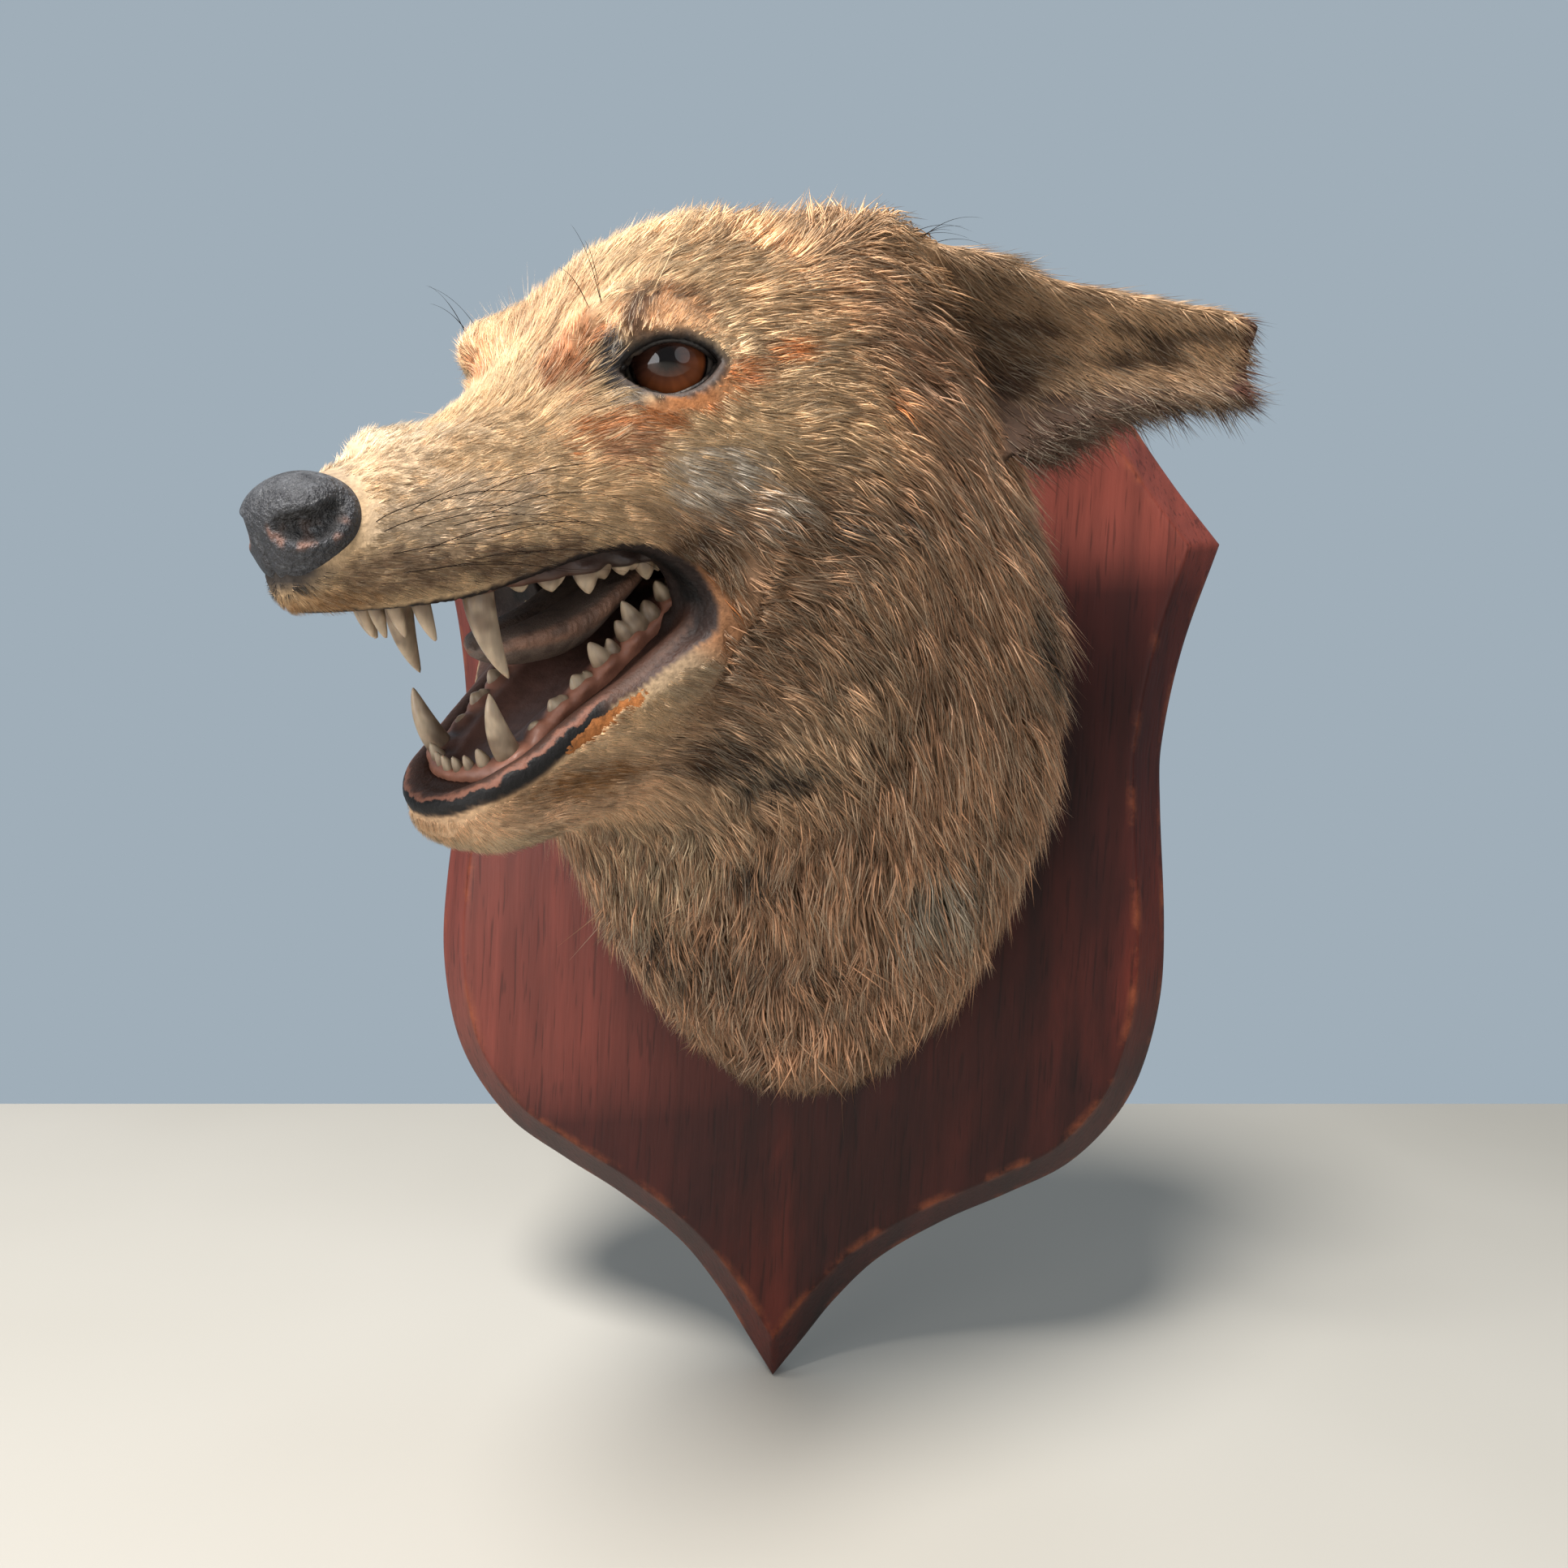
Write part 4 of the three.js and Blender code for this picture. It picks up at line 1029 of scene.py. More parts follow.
def skin_surface():
    s = Surface("skin")
    speck = s.noise(900, 3, 0.6)
    patch = s.math("SUBTRACT", s.noise(260, 5, 0.6), 0.5)
    # The skin's colour, darkened overall and speckled by a fine grain: the darkening is painted
    # shade between the hairs.
    hide = s.speckled(1.0, speck, (0.3, 0.45), (0.7, 0.75))
    edge = s.math("ADD", s.attribute("across", "Fac"), s.math("MULTIPLY", patch, 2.4))
    edge = s.math("MULTIPLY", s.math("ADD", edge, 1.6), 0.25, clamp=True)
    # Both ramps run from inside the mouth out to the fur; their dark first stops are painted shade
    # inside the mouth.
    front = s.ramp(
        edge,
        (0.0, MOUTH_BROWN * 0.4),
        (0.24, MOUTH_BROWN * 0.7),
        (0.35, LIP_PINK),
        (0.41, LIP_PINK * 0.9),
        (0.46, LIP_BLACK),
        (1.0, LIP_BLACK * 1.2),
    )
    rear = s.ramp(
        edge,
        (0.0, MOUTH_BROWN * 0.4),
        (0.22, MOUTH_BROWN * 0.8),
        (0.36, LIP_BEIGE * 0.7),
        (0.5, LIP_BEIGE),
        (0.72, LIP_BEIGE * 0.75),
        (1.0, LIP_BEIGE * 0.4),
    )
    lips = s.mix(s.attribute("front", "Fac"), rear, front)
    colour = s.mix(s.attribute("lower", "Fac"), hide, lips)
    flaked = s.math("ADD", s.attribute("flake", "Fac"), s.math("MULTIPLY", patch, 2.6))
    flaked = s.ramp(flaked, (0.6, 0.0), (0.66, 1.0))
    ochre = s.speckled(0.7, s.noise(600, 4, 0.7), (0.35, 0.3), (0.6, 1.15), OCHRE)
    bare = s.attribute("bare", "Fac")
    s.set(Base_Color=s.mix(flaked, colour, ochre))
    s.set(Roughness=s.math("SUBTRACT", 0.85, s.math("MULTIPLY", bare, 0.3)))
    s.set(Specular_IOR_Level=0.25)
    s.set(Normal=s.bump(s.math("ADD", speck, s.math("MULTIPLY", flaked, -0.6)), 0.5, 0.0006))
    return s


# ---------------------------------------------------------------- skin

SKIN_GRID = (
    marks((-98, 0, 1.15), (0, 32, 1.8), (32, 116, 1.5)),
    marks((-200, -112, 1.15), (-112, -52, 1.5), (-52, -18, 2.0)),
    marks((-92, 8, 2.2), (8, 132, 1.15), (132, 168, 1.5), (168, 182, 2)),
)
COAT_NODES = ("neck", "head", "muzzle", "lower_jaw", "ear_left", "ear_right")


def ears_at(p):
    """For each place, how far it is outside the nearer ear, and that ear's colour."""
    gaps = np.stack([ear.field(p) for ear in ears.values()])
    tones = np.stack([ear_colour(ear, p) for ear in ears.values()])
    pick = gaps.argmin(0)
    rows = np.arange(len(p))
    return gaps[pick, rows], tones[pick, rows]


def make_skin():
    vertices, quads = surface_of(skin_field, *SKIN_GRID, settle=1)
    q = to_head(vertices)
    tone = coat_colour(vertices, q)
    gap, ear_tone = ears_at(vertices)
    beyond = smoothstep(1, 5, hide_field(vertices, q)) * smoothstep(1.5, 0.2, gap)
    tone = mixed(tone, ear_tone, beyond)
    # Painted shade: the skin under the coat is darkened, most under the long fur behind, so that it
    # reads as shade between the hairs.
    shade = 0.58 + 0.34 * smoothstep(-10, 45, q[:, 0])
    values, bare_tone = bare_skin(vertices, q)
    bare = values["bare"]
    ring = np.minimum(smoothstep(2.9, 1.2, lid_lens(mirrored(q))), 0.8)
    tone = mixed(mixed(tone * shade[:, None], LID_BLACK, ring), bare_tone, bare)
    piece = make_mesh("skin", vertices, quads, tone, values)
    dress(piece, "coat", skin_surface(), *COAT_NODES)
    return vertices, quads, bare, beyond


# ---------------------------------------------------------------- coat

# Which way the hair lies on one side of the head, carried between by nearness: [place, way]
LIE = [
    [[66, 3, -14], [-1, 0.1, 0]],
    [[56, 15, -24], [-1, 0.12, -0.1]],
    [[40, 5, -4], [-1, 0.05, 0.02]],
    [[38, 20, -24], [-1, 0.22, -0.12]],
    [[24, 5, 4], [-1, 0, 0.1]],
    [[16, 20, 11], [-0.75, 0.25, 0.55]],
    [[20, 24, -10], [-0.95, 0.25, -0.18]],
    [[8, 34, -8], [-0.85, 0.4, -0.2]],
    [[0, 8, 26], [-1, 0.1, 0]],
    [[-12, 31, 14], [-1, 0.2, 0.05]],
    [[-10, 39, 0], [-0.95, 0.2, -0.12]],
    [[-32, 45, 0], [-0.9, 0.15, -0.3]],
    [[-30, 15, 32], [-1, 0.12, 0]],
    [[-60, 20, 36], [-1, 0.2, 0]],
    [[-62, 44, 20], [-0.95, 0.35, 0]],
    [[4, 38, -28], [-0.85, 0.2, -0.45]],
    [[-20, 50, -28], [-0.75, 0.1, -0.65]],
    [[-48, 58, -22], [-0.65, 0, -0.76]],
    [[-56, 58, -48], [-0.45, 0, -0.9]],
    [[-24, 52, -56], [-0.6, 0, -0.8]],
    [[4, 34, -46], [-0.8, 0.15, -0.55]],
    [[10, 30, -66], [-0.85, 0.1, -0.5]],
    [[36, 18, -82], [-0.98, 0.12, -0.15]],
    [[54, 0, -86], [-0.85, 0, -0.5]],
    [[20, 0, -92], [-1, 0, -0.15]],
]
LIE_PLACES = np.array([place for place, _ in LIE], float)
LIE_WAYS = unit(np.array([way for _, way in LIE], float))
LIE_SOFTNESS = 8.0


def lie_at(p):
    """The way that the hair lies, before it is laid on the hide."""
    q = to_head(p)
    both = mirrored(q)
    gap = ((both[:, None, :] - LIE_PLACES[None]) ** 2).sum(2)
    share = 1 / (gap + LIE_SOFTNESS ** 2) ** 2
    way = unit(share @ LIE_WAYS)
    from_eye = both - EYE_PLACE - EYE_WAY * 8
    way = way + unit(from_eye) * smoothstep(18, 9, np.linalg.norm(from_eye, axis=1))[:, None]
    way[:, 1] *= np.where(q[:, 1] < 0, -1, 1)
    way = head_way(way)
    top = smoothstep(96, 150, p[:, 2])[:, None]
    sideways = 0.18 * np.clip(p[:, 0] / 60, -1, 1)
    down = np.column_stack([sideways, np.full(len(p), 0.5), np.full(len(p), -0.86)])
    inwards = np.column_stack([sideways, np.full(len(p), 0.95), np.full(len(p), -0.25)])
    neck = smoothstep(-128, -98, p[:, 1])[:, None]
    return unit(way + (down + (inwards - down) * top - way) * neck)


def hide_height(p):
    """Height above the hide, and the way up from it."""
    height = np.empty(len(p))
    up = np.empty_like(p)
    for part in chunks(len(p)):
        value, slope = slope_of(whole_body, p[part])
        steep = np.clip(np.linalg.norm(slope, axis=1), *SLOPE_LIMITS)
        height[part] = value / steep + coat_depth(p[part], to_head(p[part]))
        up[part] = slope / steep[:, None]
    return height, unit(up)


ROOT_DEPTH = 0.5  # how far a hair starts below the skin
ROOT_CLEARANCE, TIP_CLEARANCE = 0.25, 0.8  # how far it stays off lips, lids and ears
WALL_Y = SHIELD_FRONT - 0.5  # hair stops at the shield's face
NEAR_EYE, NEAR_LIP, NEAR_EAR = 22, 6, 5  # how near a root is to what its hair has to clear
WAVE, WAVE_LENGTH = 0.28, 11  # how far the lie wanders, and over what length


def off_the_skin(place, rows, clearance):
    """The places, with those of the given rows lifted clear of lips, lids and ears."""
    value, slope = slope_of(skin_field, place[rows])
    steep = np.maximum(np.linalg.norm(slope, axis=1), 0.3)
    lift = np.clip(clearance - value / steep, 0, 3)
    place[rows] += slope / steep[:, None] * lift[:, None]
    return place


def combed(roots, steps, length, rise, gather, stray, free):
    """Each hair's points: it follows the lie, climbs to its height, and leans to its lock."""
    place = roots.copy()
    both = mirrored(to_head(roots))
    tight = np.linalg.norm(both - EYE_PLACE, axis=1) < NEAR_EYE
    tight |= tube_field(both, LIP_CURVE) < NEAR_LIP
    tight |= np.min([ear.field(roots) for ear in ears.values()], axis=0) < NEAR_EAR
    tight = np.nonzero(tight)[0]
    height, up = hide_height(place)
    start = np.maximum(height, 0)
    path, ups = [place - up * ROOT_DEPTH], [up]
    for before, s in zip(steps, steps[1:]):
        way = lie_at(place) + WAVE * noise_at(place, WAVE_LENGTH)
        side = unit(np.cross(up, way))
        way = way + side * stray[:, None]
        hold = 1 - free * s
        way = unit(way - ((way * up).sum(1) * hold)[:, None] * up)
        place = place + way * (length * (s - before))[:, None] + gather * (s ** 1.5 - before ** 1.5)
        height, up = hide_height(place)
        want = start * (1 - s) + rise * s ** 0.8 + 0.1
        place = place + up * ((want - height) * hold)[:, None]
        place = off_the_skin(place, tight, ROOT_CLEARANCE + (TIP_CLEARANCE - ROOT_CLEARANCE) * s)
        place[:, 1] = np.minimum(place[:, 1], WALL_Y)
        path.append(place)
        ups.append(up)
    return np.stack(path, axis=1), np.stack(ups, axis=1)


def locks(roots, every, rng):
    """For each root, which of the roots its lock gathers round."""
    heads = rng.choice(len(roots), max(1, len(roots) // every), replace=False)
    tree = KDTree(len(heads))
    for index, head in enumerate(heads):
        tree.insert(roots[head], index)
    tree.balance()
    return heads[np.array([tree.find(root)[1] for root in roots])]


def hair_arrays(path, ups, widths):
    """Closed three-sided spikes: vertices, triangles, each vertex's step, vertices to a hair."""
    count, points = path.shape[:2]
    rings = points - 1
    tangent = unit(np.gradient(path, axis=1))
    side = unit(np.cross(tangent, ups))
    up = np.cross(side, tangent)
    half = widths[:, :rings, None] / 2
    base = path[:, :rings]
    corners = np.stack([
        base + side[:, :rings] * half,
        base - side[:, :rings] * half,
        base + up[:, :rings] * half * 0.9,
    ], axis=2).reshape(count, rings * 3, 3)
    vertices = np.concatenate([corners, path[:, rings:]], axis=1)
    tip = fan(np.arange(3) + (rings - 1) * 3, rings * 3)
    faces = np.concatenate([[[0, 2, 1]], ring_faces(rings, 3), tip])
    size = rings * 3 + 1
    triangles = faces[None] + (np.arange(count) * size)[:, None, None]
    step = np.minimum(np.arange(size) // 3, rings)
    return vertices.reshape(-1, 3), triangles.reshape(-1, 3), step, size


PATCH = 0.003  # size of a hair's patch on the unwrap


def hair_piece(name, hairs, surface):
    """A piece of coat: hairs is (paths, ups, widths, colours by step, places on the unwrap)."""
    path, ups, widths, colours, places = hairs
    vertices, triangles, step, size = hair_arrays(path, ups, widths)
    tones = colours[:, step].reshape(-1, 3)
    offset = np.column_stack([
        (np.arange(size) % 3 / 2 - 0.5) * PATCH,
        (step / step.max() - 0.5) * PATCH,
    ])
    patches = (places[:, None, :] + offset[None]).reshape(-1, 2)
    dress(make_mesh(name, vertices, triangles, tones, patches=patches), "coat", surface)


# The line that the unwrap goes round, from the nose to the shield
UNWRAP_X, UNWRAP_Y, UNWRAP_Z = [-75, -44, 4], [-200, -129, -19], [70, 95, 45]


def unwrapped(p):
    """Place on an unwrap of the skin round the line from the nose to the shield."""
    middle_x, middle_z = (np.interp(p[:, 1], UNWRAP_Y, row) for row in (UNWRAP_X, UNWRAP_Z))
    angle = np.arctan2(p[:, 0] - middle_x, p[:, 2] - middle_z)
    around = 0.5 + angle / (2 * math.pi) * 0.96
    along = 0.02 + 0.96 * np.clip((p[:, 1] + 205) / 190, 0, 1)
    return np.column_stack([around, along])


def coat_surface():
    s = Surface("coat")
    s.set(Base_Color=s.attribute("colour"), Roughness=0.62, Specular_IOR_Level=0.35)
    return s


# Along the head, x forwards: [x, length, width, hairs to a square millimetre]
HAIR_ROWS = Rows([
    [-130, 19, 0.44, 1.0], [-95, 16, 0.41, 1.2], [-60, 12.5, 0.35, 2.0], [-30, 9.5, 0.3, 3.1],
    [-5, 7.2, 0.25, 4.4], [20, 5.4, 0.212, 5.2], [45, 4.2, 0.185, 6.1], [75, 3.2, 0.165, 6.8],
])
NECK_HAIR = (21.0, 0.44, 1.5)
LONG_HAIR = 9.0  # some of the hairs longer than this bend halfway
BENT_SHARE = 0.45
PALE = srgb(232, 216, 190)
DARK = srgb(64, 50, 40)


def hair_habit(p, q):
    """Length, width and number to a square millimetre of the hairs rooted at a place."""
    length, width, number = HAIR_ROWS(q[:, 0])
    neck = smoothstep(-125, -75, p[:, 1])
    cheek = smoothstep(-10, -40, q[:, 2]) * smoothstep(22, -10, q[:, 0]) * (1 - neck)
    length = length * (1 + 0.45 * cheek)
    length, width, number = (
        a + (b - a) * neck for a, b in zip((length, width, number), NECK_HAIR)
    )
    both = mirrored(q)
    length = length * (0.45 + 0.55 * smoothstep(1, 8, lid_lens(both)))
    lips = tube_field(both, LIP_CURVE)
    rim = np.maximum(smoothstep(6, 1.5, lips), smoothstep(4, 1, lid_lens(both)))
    fringe = smoothstep(-36, -24, p[:, 1]) * smoothstep(-10, -45, p[:, 2])
    length = length * (1 - 0.35 * rim - 0.25 * fringe)
    return length, width * (1 - 0.2 * rim), number * (1 + rim + 4 * fringe)


def clear_of_eyes(path):
    """Which hairs pass no nearer in front of an eye than its lids' rims."""
    clear = np.ones(len(path), bool)
    for s in (0.25, 0.5, 0.75, 1):
        t = s * (path.shape[1] - 1)
        i = min(int(t), path.shape[1] - 2)
        place = path[:, i] + (path[:, i + 1] - path[:, i]) * (t - i)
        clear &= lid_lens(mirrored(to_head(place))) > 0.9
    return clear


def halved(vertices, quads):
    """The quads' triangles, and the places of their corners."""
    triangles = np.concatenate([quads[:, [0, 1, 2]], quads[:, [0, 2, 3]]])
    return triangles, vertices[triangles].transpose(1, 0, 2)


def scattered(corners, number, rng):
    """Random places on triangles, so many to a square millimetre, with their triangle's index."""
    a, b, c = corners
    area = np.linalg.norm(np.cross(b - a, c - a), axis=1) / 2
    index = np.repeat(np.arange(len(a)), rng.poisson(area * number))
    u, v = rng.random((2, len(index), 1))
    u, v = np.where(u + v > 1, 1 - u, u), np.where(u + v > 1, 1 - v, v)
    return a[index] + (b - a)[index] * u + (c - a)[index] * v, index


def hair_tones(tone, shade, root, steps, pale, dark, rng):
    """Colours along each hair: darker root (dark underfur, and painted shade deep in the coat), the
    coat's colour, and a pale or dark tip on some.
    """
    tone = tone * np.clip(shade, 0.5, 1.6)[:, None]
    chance = rng.random(len(tone))
    tip = mixed(tone * 1.08, PALE, 0.6 * (chance < pale))
    tip = mixed(tip, DARK, 0.75 * (chance > 1 - dark))
    steps = np.array(steps)[None, :, None]
    root = np.reshape(root, (-1, 1, 1))
    colours = tone[:, None, :] * (root + (1 - root) * np.minimum(1, steps / 0.4))
    return colours + (tip - tone)[:, None, :] * np.clip((steps - 0.35) / 0.5, 0, 1)


# [name, ways from root to tip, their widths]
HAIR_KINDS = [
    ["coat_fine", (0, 1), (1, 0)],
    ["coat_long", (0, 0.45, 1), (0.85, 0.95, 0)],
]
LOCK_SIZE = 18  # hairs
TUFT_SIZE = 160
SPREAD, WIDTH_SPREAD = (0.75, 1.2), (0.75, 1.3)  # of a hair's length, rise and width
PIECE_TRIANGLES = 199_000  # the most that one piece of coat may have
# Where the hair stands off the hide, on both sides: [centre, radius, how freely, how much longer]
WISPS = [
    [[-84, 38, 34], 12, 0.75, 0.6],
    [[9, 21, 14], 7, 0.5, 0.3],
    [[-104, 30, 24], 12, 0.4, 0.2],
]


def make_coat(vertices, quads, bare, beyond):
    rng = np.random.default_rng(COAT_SEED)
    triangles, corners = halved(vertices, quads)
    centre = corners.mean(0)
    _, _, number = hair_habit(centre, to_head(centre))
    covered = (bare[triangles].max(1) < 0.35) & (beyond[triangles].max(1) < 0.5)
    covered &= (centre[:, 1] < SHIELD_FRONT - 0.8) & (nose_field(to_head(centre)) > 0.4)
    roots, _ = scattered(corners, number * covered, rng)
    count = len(roots)
    q = to_head(roots)
    length, width, number = hair_habit(roots, q)
    x, _, z = q.T
    cheek = smoothstep(-8, -36, z) * smoothstep(20, 0, x)
    neck = smoothstep(-125, -90, roots[:, 1])
    rough = np.maximum(cheek, neck)
    hem = smoothstep(-95, -45, roots[:, 1]) * smoothstep(10, -50, roots[:, 2])
    fleck = smoothstep(28, 45, x) * smoothstep(-14, -24, z)

    lock = locks(roots, LOCK_SIZE, rng)
    tuft = locks(roots, TUFT_SIZE, rng)
    lock_reach = np.sqrt(LOCK_SIZE / (math.pi * number))
    edge = np.clip(np.linalg.norm(roots[lock] - roots, axis=1) / lock_reach, 0, 1.5)
    tuft_edge = np.linalg.norm(roots[tuft] - roots, axis=1) / lock_reach
    tuft_edge = np.clip(tuft_edge * math.sqrt(LOCK_SIZE / TUFT_SIZE), 0, 1.5)
    each, by_lock, by_tuft = rng.standard_normal((3, count))
    by_lock, by_tuft = by_lock[lock], by_tuft[tuft]

    free = 0.35 * hem * rng.uniform(0.2, 1, count)[tuft]
    length = length * rng.uniform(*SPREAD, count) * (1 + 0.14 * rng.uniform(-1, 1, count)[lock])
    length = length * np.clip(1 + (0.06 + 0.3 * hem) * by_tuft, 0.6, 1.4)
    for place, radius, freely, longer in WISPS:
        near = smoothstep(1.2, 0.4, np.linalg.norm(mirrored(q) - place, axis=1) / radius)
        free = np.maximum(free, near * freely * rng.uniform(0.3, 1, count)[lock])
        length = length * (1 + longer * near)
    rise = coat_depth(roots, q) * rng.uniform(0.2, 0.95, count) * rng.uniform(*SPREAD, count)[lock]
    rise = rise * (1 + 0.35 * noise_at(roots, 13)[:, 0])
    rise = rise * (1.15 - 0.3 * edge) * (1.1 - 0.22 * tuft_edge)
    gather = (roots[lock] - roots) * (0.32 + 0.36 * rough - 0.1 * hem)[:, None]
    gather = gather + (roots[tuft] - roots) * (0.05 + 0.2 * rough + 0.5 * hem)[:, None]
    stray = 0.08 * each + (0.08 + 0.08 * rough) * by_lock + (0.06 + 0.1 * rough) * by_tuft

    chance = 0.5 * rng.random(count) + 0.5 * rng.random(count)[lock]
    middle = roots + lie_at(roots) * (0.45 * length)[:, None]
    tone = coat_colour(middle, to_head(middle), chance)
    # Random tone by hair, lock and tuft; hairs at the edges of locks and tufts are darker: painted
    # shade in the gaps between them.
    shade = 1 + 0.14 * rng.standard_normal(count) + 0.17 * rng.standard_normal(count)[lock]
    shade = (shade + 0.09 * by_tuft) * (1.16 - (0.18 + 0.18 * rough) * edge)
    shade = shade * (1.1 - (0.08 + 0.18 * rough) * tuft_edge)
    width = width * rng.uniform(*WIDTH_SPREAD, count)
    # How dark each root is: dark underfur, and painted shade deep in the coat; less so on short
    # hair.
    root = 0.52 + 0.3 * smoothstep(9, 4, length)
    pale = 0.16 + 0.16 * rough
    dark = 0.06 + 0.14 * rough + 0.16 * fleck
    bent = (length > LONG_HAIR) & (rng.random(count) < BENT_SHARE)
    surface = coat_surface()
    for (name, steps, taper), chosen in zip(HAIR_KINDS, (~bent, bent)):
        rows = np.nonzero(chosen)[0]
        path, ups = combed(
            roots[rows], steps, length[rows], rise[rows], gather[rows], stray[rows], free[rows])
        widths = width[rows, None] * np.array(taper)[None]
        tones = hair_tones(tone[rows], shade[rows], root[rows], steps, pale[rows], dark[rows], rng)
        hairs = [path, ups, widths, tones, unwrapped(roots[rows])]
        order = np.argsort(roots[rows, 1])
        order = order[clear_of_eyes(path[order])]
        limit = PIECE_TRIANGLES // (6 * len(steps) - 8)
        for number, part in enumerate(np.array_split(order, math.ceil(len(order) / limit))):
            hair_piece(f"{name}_{number + 1}", [values[part] for values in hairs], surface)
    return surface


EAR_HAIR = (9.0, 0.31, 2.3)  # length, width and number to a square millimetre
EAR_LOCK_SIZE = 10
EAR_BARE_TIP = 0.985  # no hair grows beyond this share of the ear's length


def make_ear_coats(vertices, quads, beyond, surface):
    rng = np.random.default_rng(EAR_SEED)
    triangles, corners = halved(vertices, quads)
    normal = unit(np.cross(corners[1] - corners[0], corners[2] - corners[0]))
    long, wide, number = EAR_HAIR
    for side, ear in ears.items():
        centre = corners.mean(0)
        near = (beyond[triangles].min(1) > 0.3) & (ear.field(centre) < 2)
        near &= ear.place(centre)[0] < EAR_BARE_TIP
        roots, index = scattered(corners, number * near, rng)
        t, u, _ = ear.place(roots)
        up = normal[index]
        down = np.array([0, 0, -1.0])
        inner = ((up @ ear.open) > 0)[:, None]
        breadth = EAR_ROWS(t)[0]
        below = smoothstep(0.2, 0.8, -2 * u / breadth)
        droop = np.where(inner, 0.45, 0.18) + 0.7 * below[:, None]
        way = ear.axis + down * droop + 0.35 * noise_at(roots, 9)
        way = way + 0.18 * rng.standard_normal((len(roots), 1)) * np.cross(up, way)
        way = unit(way - (way * up).sum(1, keepdims=True) * up)
        lock = locks(roots, EAR_LOCK_SIZE, rng)
        length = long * (1.25 - 0.5 * t) * (1 + 0.5 * below) * rng.uniform(0.7, 1.2, len(roots))
        steps = np.array([0, 1.0])
        lift = rng.uniform(0.5, 2.2, len(roots)) * rng.uniform(0.6, 1.6, len(roots))[lock]
        path = np.stack([
            roots + way * (length * s)[:, None] + up * (lift * s - 0.3 * (s == 0))[:, None]
            + (roots[lock] - roots) * 0.45 * s ** 1.5 + down * (1.2 * s * s)
            for s in steps
        ], axis=1)
        ups = np.repeat(up[:, None, :], len(steps), axis=1)
        widths = (wide * rng.uniform(0.7, 1.2, len(roots)))[:, None] * np.array([1, 0])[None]
        shade = 1 + 0.12 * rng.standard_normal(len(roots))
        shade = shade + 0.15 * rng.standard_normal(len(roots))[lock]
        often = np.full(len(roots), 0.18)
        # The ear hairs' roots are darker too: dark underfur, and painted shade.
        tones = hair_tones(ear_colour(ear, roots), shade, 0.6, steps, often, often * 0.6, rng)
        around = 0.5 + u / 60 * np.where(inner[:, 0], 1, -1) * 0.4
        places = np.column_stack([around, 0.05 + 0.85 * np.clip(t, 0, 1)])
        hair_piece("coat_" + side, (path, ups, widths, tones, places), surface)


# ---------------------------------------------------------------- nose

# A rounded pad with a wing round each nostril and a foot on the lip: [centre, radii]
NOSE_PAD = [[70.5, 0, -20.3], [9.2, 10, 8]]
NOSE_WING = [[71, 6, -21.3], [7, 5.8, 6.2]]
NOSE_FOOT = [[72.4, 0, -27.2], [6.2, 7.6, 4.9]]
NOSE_FILLET = 4
# The comma of the nostril: [x, y, z, radius]
NOSTRIL = through([
    [79.4, 6.2, -21.2, 2.2], [77.2, 9.0, -21.4, 2.6], [74.6, 11.0, -21.0, 2.7],
    [72.0, 11.8, -19.6, 2.2], [69.8, 11.6, -17.8, 1.3], [68.2, 11.0, -16.2, 0.5],
], 40)
PHILTRUM = through([
    [80.6, 0, -20, 0.3], [79.8, 0, -24, 0.6], [78.8, 0, -28, 0.7], [76.5, 0, -32, 0.7],
], 30)
NOSE_GRID = (marks((58, 82, 0.55)), marks((-15, 15, 0.55)), marks((-34, -10, 0.55)))


def nose_field(q):
    both = mirrored(q)
    d = ellipsoid(q, *NOSE_PAD)
    d = blend(d, ellipsoid(both, *NOSE_WING), NOSE_FILLET)
    d = blend(d, ellipsoid(q, *NOSE_FOOT), NOSE_FILLET)
    d = common(d, -tube_field(both, PHILTRUM), 0.8)
    return common(d, -tube_field(both, NOSTRIL), 1.4)


# Grey of scuffed paint, and of painted sheen on the nose's top.
NOSE_SCUFF_AND_SHEEN = srgb(112, 114, 118)
NOSE_RAW = srgb(158, 112, 92)


def make_nose():
    vertices, quads = surface_of(nose_field, *NOSE_GRID)
    both = mirrored(vertices)
    hole = tube_field(both, NOSTRIL)
    chip = noise_at(vertices, 1.6)
    # Greyer on top: scuffed paint, and painted sheen where the light falls on the top.
    worn = smoothstep(-22, -13, vertices[:, 2]) * smoothstep(-0.3, 0.7, chip[:, 0] + 0.3)
    tone = mixed(NOSE_BLACK, NOSE_SCUFF_AND_SHEEN, 0.25 * worn)
    rim = smoothstep(1.6, 0.5, hole) * smoothstep(-19, -22, vertices[:, 2])
    tone = mixed(tone, NOSE_RAW, 0.55 * rim * smoothstep(-0.2, 0.5, chip[:, 1]))
    tone = mixed(tone, srgb(20, 17, 17), smoothstep(0.3, -0.1, hole))
    piece = make_mesh("nose_leather", from_head(vertices), quads, tone)
    s = Surface("nose")
    pebble = s.noise(1100, 3, 0.6)
    scuff = s.ramp(s.noise(420, 6, 0.75), (0.56, 0.0), (0.7, 0.6))
    scuffs_and_sheen = s.mix(scuff, s.attribute("colour"), NOSE_SCUFF_AND_SHEEN)
    s.set(Base_Color=s.speckled(0.6, pebble, (0.3, 0.35), (0.65, 1.2), scuffs_and_sheen))
    s.set(Roughness=0.5, Normal=s.bump(pebble, 1.0, 0.0012))
    dress(piece, "nose", s, "nose")


# ---------------------------------------------------------------- eyes

GAZE = unit(np.array([0.755, 0.648, 0.102]))  # the fox's left eye, in the head's frame
CORNEA_RISE = 0.45
IRIS_ANGLE = math.radians(54)
PUPIL_ANGLE = math.radians(12)
EYE_RINGS = 64
EYE_SPOKES = 96


